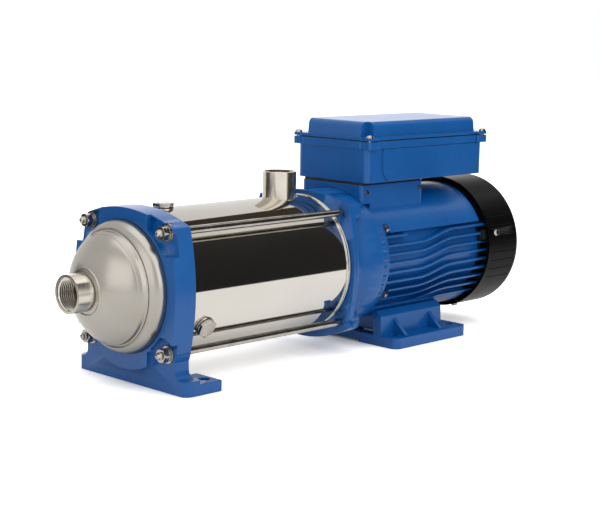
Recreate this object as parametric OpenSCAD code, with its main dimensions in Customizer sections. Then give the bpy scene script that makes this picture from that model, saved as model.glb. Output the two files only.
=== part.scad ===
// Horizontal multistage booster pump with a close-coupled motor.
// The origin lies on the mounting surface, midway between the two holes of the front foot.
// The shaft runs along +X, from the suction socket towards the fan.

/* [Overall] */
// Height of the shaft axis above the mounting surface
shaft_h = 100; // [98:0.5:106]
// Wall of the turned and drawn stainless pieces
wall = 1.5; // [1:0.1:2]

/* [Pump casing] */
// Outside diameter of the polished sleeve
casing_d = 135.4; // [132:0.2:137]
// Length from the edge of the dome to the rear flange
casing_len = 253.3; // [246:0.5:262]
// Radius of the round shoulder of the dome
shoulder_r = 10; // [8:0.5:12]
// Radius of the ball that the dome is a cap of
dome_r = 65.5; // [63:0.5:68]
// Outside diameter of the casing's rear flange
flange_d = 143.6; // [142:0.2:148]
// Outside diameter of the seal housing's rim
rim_d = 151.6; // [149:0.2:156]
// Thickness of each of the two clamped rims
rim_t = 3; // [2:0.2:4]

/* [Ports] */
// Major diameter of the one-inch pipe thread in both sockets
thread_d = 33.25; // [30:0.05:34]
// Outside diameter of the suction socket
suction_d = 39; // [37:0.5:44]
// Reach of the suction socket in front of the dome's edge
suction_reach = 67; // [60:1:80]
// Outside diameter of the discharge socket
discharge_d = 37; // [36:0.5:40]
// Height of the discharge socket above the shaft axis
discharge_h = 103.2; // [92:0.5:112]
// Distance of the discharge socket from the casing's rear flange
discharge_back = 34.3; // [30:0.5:42]
// Width across flats of the fill and drain plugs
plug_af = 19; // [17:1:20]
// Diameter of the bosses that the plugs screw into
plug_boss_d = 22; // [21:0.5:26]
// Distance of the plugs behind the front bracket
plug_back = 25; // [16:0.5:30]
// Angle of the drain plug below the horizontal
drain_angle = 30; // [20:1:32]

/* [Front bracket] */
// Distance between the two foot holes
foot_hole_y = 145; // [141:1:150]
// Diameter of the front foot holes
foot_hole_d = 12; // [9:0.5:13]
// Width of the front foot
foot_w = 174.6; // [171:1:182]
// Length of the front foot's pads along the shaft
foot_len = 44.5; // [42:0.5:52]
// Distance of the foot holes from the rear edge of the pads
foot_hole_edge = 10.5; // [9:0.5:13]
// Thickness of the foot's pads
foot_t = 11; // [9:0.5:13]
// Half height of the bracket's bowed outline
bracket_half = 80; // [78:0.5:83]
// Depth of the bracket ring along the shaft
bracket_depth = 24.5; // [22:0.5:28]
// Depth of the corner pockets
pocket_depth = 10; // [8:0.5:12]

/* [Tie rods] */
// Spacing of the tie rods, both across and upwards
rod_spacing = 121.4; // [120.6:0.2:123]
// Diameter of the tie rods
rod_d = 8; // [7:0.5:9]
// Width across flats of the tie rod nuts
nut_af = 13; // [12:0.5:14]
// Height of the tie rod nuts
nut_h = 6.5; // [5:0.5:8]
// Diameter of the large washers
washer_d = 17.5; // [16:0.25:17.5]
// Thickness of the large washers
washer_t = 2; // [1.5:0.1:2.5]
// Length of stud in front of the nut
stud_end = 5; // [3:0.5:8]

/* [Hydraulics] */
// Number of stages
stages = 6; // [4:1:6]
// Length of one stage
stage_len = 28; // [26:0.5:28.5]
// Outside diameter of the impellers
impeller_d = 102; // [90:1:108]
// Diameter of the impeller's inlet neck
neck_d = 27.2; // [26:0.2:32]
// Thickness of the shrouds, plates and vanes
sheet = 1.2; // [0.8:0.1:1.4]
// Number of blades in an impeller
blades = 6; // [5:1:7]
// Number of return vanes in a stage bowl
vanes = 8; // [6:1:9]

/* [Shaft and bearings] */
// Diameter of the shaft in the hydraulics
pump_shaft_d = 14; // [12:0.5:16]
// Outside diameter of the front bearing
front_bearing_d = 47; // [45:0.5:49]
// Bore of the front bearing
front_bearing_bore = 20; // [19:0.5:21]
// Width of the front bearing
front_bearing_w = 14; // [13:0.5:15]
// Outside diameter of the rear bearing
rear_bearing_d = 40; // [39:0.5:42]
// Bore of the rear bearing
rear_bearing_bore = 17; // [16:0.5:18]
// Width of the rear bearing
rear_bearing_w = 12; // [11:0.5:13]
// Balls in each bearing
balls = 8; // [7:1:8]

/* [Motor] */
// Length of the adapter between pump and motor
adapter_len = 49.5; // [46:0.5:54]
// Outside diameter of the adapter's round flange
adapter_d = 171; // [168:0.5:174]
// Outside diameter of the adapter's neck at the motor
neck_flange_d = 159; // [156:0.5:161]
// Outside diameter of the motor's smooth body
body_d = 149; // [147:0.5:150.5]
// Diameter of the motor's core, at the roots of the fins
core_d = 132; // [129:0.5:136]
// Bore of the motor frame, which holds the stator
frame_bore = 120; // [116:0.5:121]
// Length of the motor frame
frame_len = 174; // [168:1:180]
// Half width of the fins' flat sides
fin_half = 70.5; // [69:0.25:71.5]
// Distance from one fin to the next
fin_pitch = 10.3; // [9.8:0.1:10.8]
// Thickness of a fin
fin_t = 2.4; // [1.8:0.1:3]
// Length of the stator and rotor cores
core_len = 95; // [80:1:98]
// Outside diameter of the rotor core
rotor_d = 72; // [66:0.5:73]
// Air gap between rotor and stator
air_gap = 0.5; // [0.3:0.1:1]

/* [Motor foot] */
// Width of the motor foot
motor_foot_w = 159.6; // [156:1:168]
// Length of the motor foot along the shaft
motor_foot_len = 127; // [122:1:132]
// Distance between the motor foot's holes across the shaft
motor_hole_y = 125; // [124:1:130]
// Distance between the motor foot's holes along the shaft
motor_hole_x = 100; // [96:1:106]
// Diameter of the motor foot's holes
motor_hole_d = 10; // [8:0.5:11]
// Thickness of the motor foot's pads
motor_foot_t = 12; // [10:0.5:14]

/* [Fan cover] */
// Outside diameter of the fan cover
cover_d = 157.2; // [156:0.2:160]
// Length of the fan cover
cover_len = 60; // [57:0.5:66]
// Wall of the fan cover
cover_wall = 2.2; // [1.8:0.1:2.4]
// Radius of the fan cover's rear edge
cover_edge_r = 7; // [4:0.5:9]
// Number of rings of slots in the grille
grille_rings = 5; // [3:1:5]
// Number of spokes in the grille
grille_spokes = 8; // [6:1:10]
// Number of fan blades
fan_blades = 7; // [5:1:9]

/* [Terminal box] */
// Length of the terminal box along the shaft
box_len = 206; // [190:1:210]
// Width of the terminal box
box_w = 110; // [104:1:112]
// Height of the box base
box_base_h = 46.2; // [42:0.5:50]
// Height of the lid above the seam
lid_h = 21.4; // [18:0.5:25]
// Wall of the box and its lid
box_wall = 3; // [2:0.25:4]
// Height of the box's underside above the shaft axis
box_z = 88.4; // [86.5:0.2:92]
// Thickness of the seal between box and motor
box_seal_t = 3; // [2:0.5:4]
// Side of the square notches over the lid screws
lid_notch = 14; // [12:0.5:16]

/* [Hidden] */
$fn = 64;
eps = 0.05;            // overcut of a cut past the face it opens
far = 4 * shaft_h;     // reach of a cut that runs right through
blue = "#0B57A4";
navy = "#0A4D93";
steel = "#C9C6C1";
bright = "#DAD8D4";
black = "#151515";
sliding = 0.02;        // radial play of a piece that is pushed on
running = 0.4;         // radial play of a piece that turns inside another
seat = 0.3;            // gap between pieces that lie against each other on a curve

// Places along the shaft
foot_rear = foot_hole_edge;
foot_front = foot_rear - foot_len;
pocket_floor = foot_front + 1.5;
ring_front = pocket_floor - pocket_depth;
ring_rear = ring_front + bracket_depth;
dome_edge = ring_front - 4.3;
dome_x = dome_edge + 22.3;
suction_x = dome_edge - suction_reach;
casing_end = dome_edge + casing_len;
rim_end = casing_end + rim_t;
discharge_x = casing_end - discharge_back;
plug_x = ring_rear + plug_back;
adapter_end = rim_end + adapter_len;
shield_t = 10;         // visible thickness of the motor's front end shield
frame_x = adapter_end + shield_t;
frame_end = frame_x + frame_len;
cover_x = frame_end + 5;
cover_end = cover_x + cover_len;
box_x = adapter_end - 4.6;

// Radii
casing_r = casing_d / 2;
casing_in = casing_r - wall;
thread_r = thread_d / 2;
rod_at = rod_spacing / 2;
body_r = body_d / 2;
core_r = core_d / 2;
cover_r = cover_d / 2;
cover_in = cover_r - cover_wall;
shaft_r = pump_shaft_d / 2;
signs = [-1, 1];

// Turned shape: the outline holds the radius across and the place along the shaft upwards
module turned() {
    translate([0, 0, shaft_h]) rotate([0, 90, 0]) rotate_extrude($fn = 96) children();
}

// Straight shape along the shaft: the outline holds Y across and the height upwards
module along(x, len) {
    translate([x, 0, shaft_h]) rotate([90, 0, 90]) linear_extrude(len) children();
}

// Round bar or bore along the shaft
module bar(x, len, d) {
    translate([x, 0, shaft_h]) rotate([0, 90, 0]) cylinder(h = len, d = d, $fn = 96);
}

module ring(x, len, outer, inner) {
    difference() {
        bar(x, len, outer);
        bar(x - eps, len + 2 * eps, inner);
    }
}

// One round bar or bore along the shaft at each tie rod
module at_rods(x) {
    for (y = signs, z = signs)
        translate([x, y * rod_at, shaft_h + z * rod_at]) rotate([0, 90, 0]) children();
}

module rounded(w, h, r) {
    for (y = signs, z = signs) translate([y * (w / 2 - r), z * (h / 2 - r)]) circle(r);
    square([w - 2 * r, h], center = true);
    square([w, h - 2 * r], center = true);
}

module hexagon(af) {
    circle(d = af / cos(30), $fn = 6);
}

// Front bracket: square ring round the casing with a bowed top, recessed corners
// and a wide foot
bow_top_r = 182;       // radius of the bowed top
corner_r = 26;         // radius of the top corners
waist = 10;            // the legs between ring and foot stand in by this much
segment_half = 37;     // half length of the raised top and bottom segments
side_up = 38;          // raised side bands end this far above the axis
side_down = 43;        // and this far below it
corner_lip = 1.8;      // thickness of the thin lip round the top corners
lip_back = 5.5;        // the lip stands back from the ring's face by this much
lip_r = casing_r + 3.3;
bottom_r = bracket_half + 4.5;

module bracket_outline(inset) {
    half = bracket_half - inset;
    corner_z = bracket_half - sq(half - corner_r) / 2 / bow_top_r - corner_r;
    low = foot_t - shaft_h;
    difference() {
        intersection() {
            translate([0, bracket_half - bow_top_r]) circle(bow_top_r - inset, $fn = 200);
            translate([-half, low]) square([2 * half, far]);
        }
        for (s = signs) {
            difference() {
                translate([s > 0 ? half - corner_r : -half + corner_r - far, corner_z]) square(far);
                translate([s * (half - corner_r), corner_z]) circle(corner_r - inset, $fn = 96);
            }
            polygon([[s * far, -side_down], [s * half, -side_down],
                     [s * (half - waist), -side_down - 2.5 * waist],
                     [s * (half - waist), -shaft_h], [s * far, -shaft_h]]);
        }
    }
}

function sq(v) = v * v;

module top_pockets() {
    difference() {
        for (s = signs)
            translate([s > 0 ? segment_half : -far - segment_half, side_up]) square(far);
        circle(lip_r, $fn = 128);
    }
}

module low_pockets() {
    difference() {
        union() {
            for (s = signs) {
                translate([s > 0 ? segment_half : -far - segment_half, -rod_at - far])
                    square(far);
                translate([s * rod_at, -rod_at]) circle(rod_at - side_down);
                translate([s * (rod_at + 20) - 20, -rod_at - eps])
                    square([40, rod_at - side_down - 6]);
            }
            difference() {
                translate([-far, -shaft_h]) square([2 * far, shaft_h - rod_at]);
                circle(bottom_r, $fn = 128);
            }
        }
        circle(lip_r, $fn = 128);
    }
}

module foot_web_outline() {
    half = foot_w / 2;
    low = -shaft_h;
    side = bracket_half - waist;
    fillet = 9;
    difference() {
        union() {
            translate([-side - fillet, low]) square([2 * (side + fillet), 32]);
            translate([-half, low]) square([foot_w, 15]);
        }
        for (s = signs)
            translate([s * (side + fillet), low + 15 + fillet]) {
                circle(fillet);
                translate([s > 0 ? 0 : -20, -fillet]) square([20, 40]);
                translate([s > 0 ? -fillet : -20 + fillet, 0]) square([20, 40]);
            }
    }
}

module foot_plan(r) {
    half = foot_w / 2;
    difference() {
        translate([foot_front, -half]) square([foot_len, foot_w]);
        for (s = signs)
            difference() {
                translate([foot_front + r / 2 - eps, s * (half - r / 2 + eps)])
                    square(r + eps, center = true);
                translate([foot_front + r, s * (half - r)]) circle(r);
            }
    }
}

module front_bracket() {
    pad_in = 49;           // the pads reach this far in towards the shaft
    front_r = 13;          // rounding of the foot's front corners in plan
    bead_x = ring_rear - 12;
    color(blue) difference() {
        union() {
            along(ring_front, bracket_depth) bracket_outline(0);
            intersection() {
                along(foot_front, ring_rear - foot_front) foot_web_outline();
                linear_extrude(shaft_h) foot_plan(front_r);
            }
            difference() {
                linear_extrude(foot_t) foot_plan(front_r);
                translate([ring_rear, -pad_in, -eps]) cube([far, 2 * pad_in, shaft_h]);
            }
        }
        along(ring_front - eps, lip_back + eps) top_pockets();
        along(ring_front - eps, pocket_depth + eps) {
            low_pockets();
            intersection() {
                top_pockets();
                bracket_outline(corner_lip);
            }
        }
        bar(ring_front - eps, bracket_depth + 2 * eps, casing_d + 2 * seat);
        bar(bead_x, 20, casing_bead_d + 2 * seat);
        at_rods(ring_front) cylinder(h = bracket_depth + eps, d = rod_d + 2 * running);
        for (s = signs)
            translate([0, s * foot_hole_y / 2, -eps])
                cylinder(h = foot_t + 2 * eps, d = foot_hole_d);
        translate([foot_front + 8, -segment_half, -eps]) cube([far, 2 * segment_half, 9]);
        at_rods(ring_front) cylinder(h = pocket_depth, d = washer_d + 2 * running);
    }
}

// Casing: dome, sleeve and rear flange drawn from one sheet
casing_bead_d = casing_d + 3.2;
groove_r = 0.9;        // radius of the round grooves in the dome

module casing_outline(inset) {
    r = casing_r - inset;
    translate([0, dome_edge]) square([r, casing_len]);
    translate([casing_r - shoulder_r, dome_edge]) circle(shoulder_r - inset);
    translate([0, dome_edge - shoulder_r + inset])
        square([casing_r - shoulder_r, shoulder_r]);
    intersection() {
        translate([0, dome_x]) circle(dome_r - inset, $fn = 128);
        translate([0, dome_x - dome_r]) square(dome_r);
    }
}

function dome_at(r) = dome_x - sqrt(dome_r * dome_r - r * r);

module pump_casing() {
    groove_out = 56.2;
    groove_mid = 50.2;
    bead_x = ring_rear - 12;
    color(steel) difference() {
        turned() {
            difference() {
                union() {
                    casing_outline(0);
                    translate([0, casing_end - rim_t]) square([flange_d / 2 - rim_t / 2, rim_t]);
                    translate([flange_d / 2 - rim_t / 2, casing_end - rim_t / 2])
                        circle(d = rim_t, $fn = 32);
                    translate([0, bead_x]) square([casing_bead_d / 2, 3]);
                }
                casing_outline(wall);
                translate([0, casing_end - 2 * rim_t]) square([casing_in, 4 * rim_t]);
                translate([groove_out, dome_at(groove_out)]) circle(groove_r, $fn = 24);
                translate([groove_mid, dome_at(groove_mid)]) circle(groove_r, $fn = 24);
            }
        }
        bar(suction_x, suction_reach, suction_d);
        translate([discharge_x, 0, shaft_h]) cylinder(h = discharge_h, d = discharge_d);
        at_plugs() cylinder(h = casing_r + 20, d = plug_boss_d);
    }
}

module suction_port() {
    tail = 3;              // length of socket inside the dome
    weld = 4;              // size of the weld fillet round the socket
    root = dome_at(suction_d / 2) + tail;
    color(steel) difference() {
        union() {
            bar(suction_x, root - suction_x, suction_d);
            difference() {
                turned() difference() {
                    translate([0, root - tail - weld])
                        square([suction_d / 2 + weld, 2 * weld]);
                    translate([suction_d / 2 + weld, root - tail - weld]) circle(weld);
                }
                translate([dome_x, 0, shaft_h]) sphere(dome_r + 0.02, $fn = 128);
                bar(suction_x, suction_reach, suction_d - 1);
            }
        }
        bar(suction_x - eps, suction_reach, thread_d);
    }
}

module discharge_port() {
    root = casing_in - 4;
    color(bright) translate([discharge_x, 0, shaft_h]) difference() {
        translate([0, 0, root]) cylinder(h = discharge_h - root, d = discharge_d);
        cylinder(h = discharge_h + eps, d = thread_d);
    }
}

// Plugs: one on top and one low on the left side
module at_plugs() {
    for (a = [0, 90 + drain_angle]) at_plug(a) children();
}

module at_plug(a) {
    translate([plug_x, 0, shaft_h]) rotate([a, 0, 0]) children();
}

plug_seat = casing_r + 3.5;
plug_thread_d = 13.2;
plug_seal_t = 1.2;
plug_head_h = 7.2;

module plug_bosses() {
    root = casing_in;
    color(steel) at_plugs() difference() {
        translate([0, 0, root]) cylinder(h = plug_seat - root, d = plug_boss_d);
        cylinder(h = plug_seat + eps, d = plug_thread_d);
    }
}

module plug(a) {
    collar = 1;
    thread_len = plug_seat - casing_in - seat;
    color(bright) at_plug(a) {
        translate([0, 0, plug_seat - thread_len])
            cylinder(h = thread_len + plug_seal_t + 1, d = plug_thread_d - 2 * running);
        translate([0, 0, plug_seat + plug_seal_t]) {
            cylinder(h = collar, d = plug_boss_d - 1);
            intersection() {
                linear_extrude(plug_head_h) rotate(30) hexagon(plug_af);
                cylinder(h = plug_head_h, d1 = plug_boss_d + 12, d2 = plug_boss_d - 1.5);
            }
        }
    }
}

module plug_seal(a) {
    color(black) at_plug(a) translate([0, 0, plug_seat]) difference() {
        cylinder(h = plug_seal_t, d = plug_boss_d - 1);
        translate([0, 0, -eps]) cylinder(h = plug_seal_t + 2 * eps, d = plug_thread_d);
    }
}

module fill_plug() { plug(0); }
module fill_plug_seal() { plug_seal(0); }
module drain_plug() { plug(90 + drain_angle); }
module drain_plug_seal() { plug_seal(90 + drain_angle); }

// Tie rods with their nuts and washers
rod_front = pocket_floor - washer_t - nut_h - stud_end;
ear_depth = 16;        // depth of the tapped holes in the adapter's ears

module tie_rods() {
    tip = 1.6;             // height of the rounded stud end
    color(bright) at_rods(rod_front) {
        translate([0, 0, tip])
            cylinder(h = rim_end + ear_depth - 1 - rod_front - tip, d = rod_d);
        cylinder(h = tip, d1 = rod_d - 2 * tip, d2 = rod_d);
    }
}

module tie_rod_nuts() {
    color(bright) at_rods(pocket_floor - washer_t - nut_h) difference() {
        intersection() {
            linear_extrude(nut_h) rotate(30) hexagon(nut_af);
            cylinder(h = nut_h, d1 = nut_af * 1.02, d2 = nut_af * 1.7);
        }
        translate([0, 0, -eps]) cylinder(h = nut_h + 2 * eps, d = rod_d + 2 * sliding);
    }
}

module tie_rod_washers() {
    color(bright) at_rods(pocket_floor - washer_t) difference() {
        cylinder(h = washer_t, d = washer_d);
        translate([0, 0, -eps]) cylinder(h = washer_t + 2 * eps, d = rod_d + 2 * running);
    }
}

// Hydraulics: stage bowls stand in the casing, impellers turn between their plates
stack_x = discharge_x - discharge_d / 2 - 2 - stages * stage_len;
bowl_r = casing_in - seat;
hub_r = shaft_r + 3;
eye_r = neck_d / 2;
gap = 1.5;             // axial play beside an impeller
passage = 8;           // width of the water passage in an impeller
impeller_at = gap + sheet;
impeller_w = passage + 2 * sheet;
diffuser_at = impeller_at + impeller_w + gap;

function stage_at(i) = stack_x + i * stage_len;

module stage_bowls() {
    vane_w = stage_len - sheet - diffuser_at - sheet;
    color(steel) for (i = [0:stages - 1]) {
        x = stage_at(i);
        ring(x, stage_len, 2 * bowl_r, 2 * (bowl_r - sheet));
        ring(x + stage_len - sheet, sheet, 2 * bowl_r - 1, 2 * (eye_r + running));
        ring(x + diffuser_at, sheet, 2 * bowl_r - 16, 2 * (hub_r + running));
        for (v = [0:vanes - 1])
            along(x + diffuser_at + sheet / 2, vane_w + sheet)
                rotate(v * 360 / vanes) curved_vane(eye_r + 3, bowl_r - 0.5, sheet);
    }
}

// Arc that leaves the inner and reaches the outer circle at the same angle to both
module curved_vane(inner, outer, t) {
    lean = 32;
    r = (inner + outer) / 2 / cos(lean);
    d = sqrt(inner * inner + r * r - 2 * inner * r * cos(lean));
    intersection() {
        translate([d, 0]) difference() {
            circle(r + t / 2, $fn = 72);
            circle(r - t / 2, $fn = 72);
        }
        difference() {
            circle(outer, $fn = 96);
            circle(inner);
            translate([-far, -2 * far]) square(2 * far);
        }
    }
}

module impellers() {
    neck_len = impeller_at + sheet - 0.2;
    color(steel) for (i = [0:stages - 1]) {
        x = stage_at(i) + impeller_at;
        difference() {
            union() {
                bar(x, impeller_w, 2 * hub_r);
                bar(x + impeller_w - sheet, sheet, impeller_d);
                ring(x, sheet, impeller_d, 2 * (eye_r - sheet));
                ring(x - neck_len, neck_len + sheet, neck_d, 2 * (eye_r - sheet));
                for (b = [0:blades - 1])
                    along(x + sheet / 2, impeller_w - sheet) rotate(b * 360 / blades)
                        curved_vane(eye_r, impeller_d / 2 - 0.2, sheet);
            }
            bar(x - gap, 2 * impeller_w, pump_shaft_d + 2 * sliding);
        }
    }
}

module impeller_spacers() {
    color(bright) for (i = [0:stages - 1]) {
        x = stage_at(i) + impeller_at + impeller_w;
        len = (i < stages - 1 ? stage_len : seal_x - stage_at(i) - impeller_at) - impeller_w;
        ring(x, len, 2 * hub_r - 1, pump_shaft_d + 2 * sliding);
    }
}

module impeller_nut() {
    h = 8;
    x = stage_at(0) + impeller_at - h;
    color(bright) difference() {
        union() {
            along(x, h - 2) rotate(30) hexagon(pump_shaft_d + 6);
            bar(x + h - 2, 2, 2 * hub_r);
        }
        bar(x - eps, h + 2 * eps, pump_shaft_d + 2 * sliding);
    }
}

// Mechanical seal in front of the seal housing
seal_w = 9;            // width of the rotating face ring
seat_w = 8;            // width of the fixed seat
spring_len = 16;
housing_t = 4;         // thickness of the seal housing's disc
seat_x = casing_end - 4 - seat_w;
seal_x = seat_x - seal_w - spring_len;

module seal_spring() {
    turns = 6;
    wire = 2.9;
    color(bright) turned() for (i = [0:turns - 1])
        translate([shaft_r + 3.5, seal_x + wire / 2 + i * (spring_len - wire) / (turns - 1)])
            circle(d = wire, $fn = 24);
}

module seal_face_ring() {
    color(black) ring(seat_x - seal_w, seal_w, 26, pump_shaft_d + 2 * sliding);
}

module seal_seat() {
    color("ivory") ring(seat_x, seat_w, 28, pump_shaft_d + 2 * running);
}

module seal_housing() {
    spigot_len = 9;
    rim_r = rim_d / 2;
    color(steel) difference() {
        turned() {
            translate([0, casing_end]) square([rim_r - rim_t / 2, rim_t]);
            translate([rim_r - rim_t / 2, casing_end + rim_t / 2]) circle(d = rim_t, $fn = 32);
            translate([0, casing_end - spigot_len]) square([casing_in - seat, spigot_len]);
        }
        ring(casing_end - spigot_len - eps, spigot_len - housing_t, 2 * casing_in - 8, 36);
        bar(seat_x - 1, seat_w + 1, 28 + 2 * sliding);
        bar(seat_x - 1, 40, pump_shaft_d + 4);
        ring(casing_end - 6, 3, 2 * casing_in + 1, 2 * casing_in - 5);
    }
}

module casing_o_ring() {
    color(black) turned() translate([casing_in - 1.25, casing_end - 4.5]) circle(1.22, $fn = 32);
}

// Motor adapter: round flange with four ears, waisted neck
ear_r = 12.5;
web_t = 7;             // thickness of the adapter's front web
neck_wall = 6;

module ear_outline() {
    for (y = signs, z = signs) translate([y * rod_at, z * rod_at]) circle(ear_r, $fn = 48);
}

module adapter_neck(inset) {
    front = neck_flange_d / 2 - 4 - inset;
    rear = neck_flange_d / 2 - inset;
    polygon([[0, rim_end], [front, rim_end], [front, rim_end + 16],
             [rear, rim_end + 30], [rear, adapter_end], [0, adapter_end]]);
}

module motor_adapter() {
    flange_t = 7;
    lug = 9;               // side of the small cast lugs beside the lower ears
    color(blue) difference() {
        union() {
            bar(rim_end, flange_t, adapter_d);
            along(rim_end, flange_t + 11) ear_outline();
            turned() adapter_neck(0);
            for (a = [50, 70, 110, 130])
                along(rim_end + 2, adapter_len - 6) rotate(a)
                    translate([neck_flange_d / 2 - 10, -1.5]) square([11.5, 3]);
            for (s = signs)
                translate([rim_end - 1.5, s * (rod_at + 5.5) - lug / 2, shaft_h - 54])
                    cube([4, lug, lug]);
        }
        turned() difference() {
            adapter_neck(neck_wall);
            translate([0, rim_end - 1]) square([200, web_t + 1]);
        }
        bar(adapter_end - 6, 7, 2 * (neck_flange_d / 2 - neck_wall));
        bar(rim_end - 1, 20, 46);
        at_rods(rim_end - eps) cylinder(h = ear_depth, d = rod_d + 2 * sliding);
    }
}

// Shaft: one piece from the impellers to the fan
front_bearing_x = adapter_end - 5;
rear_bearing_x = frame_end + 3;
core_x = frame_x + 31;
fan_x = rear_bearing_x + rear_bearing_w + 16;
fan_w = 22;

module step(from, to, d) {
    translate([0, from]) square([d / 2, to - from]);
}

module shaft() {
    front_end = front_bearing_x + front_bearing_w;
    color(steel) turned() {
        step(stage_at(0) + impeller_at - 10, rim_end + 16, pump_shaft_d);
        step(rim_end + 16, front_end, front_bearing_bore);
        step(front_end, core_x - 14, front_bearing_bore + 6);
        step(core_x - 14, core_x + core_len + 14, 28);
        step(core_x + core_len + 14, rear_bearing_x, rear_bearing_bore + 6);
        step(rear_bearing_x, rear_bearing_x + rear_bearing_w + 4, rear_bearing_bore);
        step(rear_bearing_x + rear_bearing_w + 4, fan_x + fan_w + 3, pump_shaft_d);
    }
}

// Ball bearings: outer ring, inner ring and the balls in their cage
race = 0.26;           // share of the ring section taken by each ring

module bearing_outer(x, w, outer, bore) {
    mid = (outer + bore) / 4;
    ball = ball_d(outer, bore, w);
    color(bright) difference() {
        ring(x, w, outer - 2 * sliding, outer - race * (outer - bore));
        turned() translate([mid, x + w / 2]) circle(d = ball + 2 * 0.1, $fn = 48);
    }
}

module bearing_inner(x, w, outer, bore) {
    mid = (outer + bore) / 4;
    ball = ball_d(outer, bore, w);
    color(bright) difference() {
        ring(x, w, bore + race * (outer - bore), bore + 2 * sliding);
        turned() translate([mid, x + w / 2]) circle(d = ball + 2 * 0.1, $fn = 48);
    }
}

function ball_d(outer, bore, w) = min(0.58 * (outer - bore) / 2, 0.62 * w);

module bearing_balls(x, w, outer, bore) {
    mid = (outer + bore) / 4;
    ball = ball_d(outer, bore, w);
    color(steel) {
        for (i = [0:balls - 1])
            translate([x + w / 2, 0, shaft_h]) rotate([i * 360 / balls, 0, 0])
                translate([0, 0, mid]) sphere(d = ball, $fn = 32);
        ring(x + w / 2 - ball * 0.3, ball * 0.6, 2 * mid + 2, 2 * mid - 2);
    }
}

module front_bearing_outer_ring() {
    bearing_outer(front_bearing_x, front_bearing_w, front_bearing_d, front_bearing_bore);
}
module front_bearing_inner_ring() {
    bearing_inner(front_bearing_x, front_bearing_w, front_bearing_d, front_bearing_bore);
}
module front_bearing_balls() {
    bearing_balls(front_bearing_x, front_bearing_w, front_bearing_d, front_bearing_bore);
}
module rear_bearing_outer_ring() {
    bearing_outer(rear_bearing_x, rear_bearing_w, rear_bearing_d, rear_bearing_bore);
}
module rear_bearing_inner_ring() {
    bearing_inner(rear_bearing_x, rear_bearing_w, rear_bearing_d, rear_bearing_bore);
}
module rear_bearing_balls() {
    bearing_balls(rear_bearing_x, rear_bearing_w, rear_bearing_d, rear_bearing_bore);
}

bearing_spring_t = 1.5;

module bearing_spring() {
    color(bright) ring(rear_bearing_x + rear_bearing_w, bearing_spring_t,
                       rear_bearing_d - 1, rear_bearing_d - 9);
}

// End shields
spigot = 5;            // how far each shield reaches into the frame

module front_end_shield() {
    hub = front_bearing_d + 14;
    color(blue) difference() {
        union() {
            bar(adapter_end, shield_t, body_d + 1);
            bar(frame_x, spigot, frame_bore - 2 * sliding);
            bar(front_bearing_x, front_bearing_w + 4, hub);
            scalloped_rim();
        }
        ring(adapter_end + 4, shield_t + spigot, frame_bore - 12, hub);
        bar(front_bearing_x - eps, front_bearing_w + eps, front_bearing_d);
        bar(front_bearing_x, 60, front_bearing_d - 8);
    }
}

// Small raised ribs round the shield's rim, one for each valley between the fins
module scalloped_rim() {
    for (s = signs, i = [-4:3])
        translate([adapter_end + 3, 0, shaft_h + (i + 0.5) * fin_pitch]) rotate([0, 90, 0])
            translate([0, s * (sqrt(pow(body_r, 2) - pow((i + 0.5) * fin_pitch, 2)) - 2), 0])
                cylinder(h = shield_t - 3, d = fin_pitch - 2, $fn = 24);
}

module rear_end_shield() {
    hub = rear_bearing_d + 12;
    web = 6;
    floor_x = rear_bearing_x + rear_bearing_w + bearing_spring_t;
    color(black) difference() {
        union() {
            bar(frame_end, web, core_d - 2 * seat);
            bar(frame_end - spigot, spigot, frame_bore - 2 * sliding);
            bar(frame_end - spigot, floor_x + 2.5 - frame_end + spigot, hub);
            for (a = cover_screw_angles) cover_lug(a, 0);
        }
        ring(frame_end - spigot - eps, spigot + eps, frame_bore - 12, hub);
        bar(frame_end - spigot - eps, floor_x - frame_end + spigot + eps, rear_bearing_d);
        bar(frame_end - 20, 60, rear_bearing_bore + 7);
        for (a = cover_screw_angles) cover_screw_place(a) cylinder(h = 40, d = 4);
    }
}

// Lug that a fan cover screw goes into
module cover_lug(a, room) {
    half = 6 + room;
    translate([frame_end, 0, shaft_h]) rotate([a, 0, 0])
        translate([0, -half, core_r - 10])
            cube([26, 2 * half, cover_in - 0.4 - core_r + 10 + 5 * room]);
}

// Motor frame: bored core, smooth shoulders, pedestal for the box and curved side fins
fin_rows_up = 1;       // the highest whole fin lies this many pitches above the axis
fin_rows_down = 7;     // the lowest one rises out of the smooth underside
fin_x = frame_x + 6;
fin_end = frame_end + 14;
pedestal_len = box_len * 0.52;
pedestal_w = box_w - 16;
pedestal_mid = box_x + pedestal_len / 2;
bend_from = 0.3;       // the fins rise between these shares of their length
bend_to = 0.66;

// Height of a curved fin at a share u of its length: level, then one pitch higher
function rise(u) = u < bend_from ? 0 : u > bend_to ? fin_pitch
    : fin_pitch * (1 - cos(180 * (u - bend_from) / (bend_to - bend_from))) / 2;

module fin_outline(z) {
    n = 16;
    len = fin_end - fin_x;
    us = [0, for (i = [0:n]) bend_from + (bend_to - bend_from) * i / n, 1];
    polygon(concat([for (u = us) [fin_x + u * len, z + rise(u)]],
                   [for (i = [len(us) - 1:-1:0])
                       [fin_x + us[i] * len, z + rise(us[i]) + fin_t]]));
}

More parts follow.
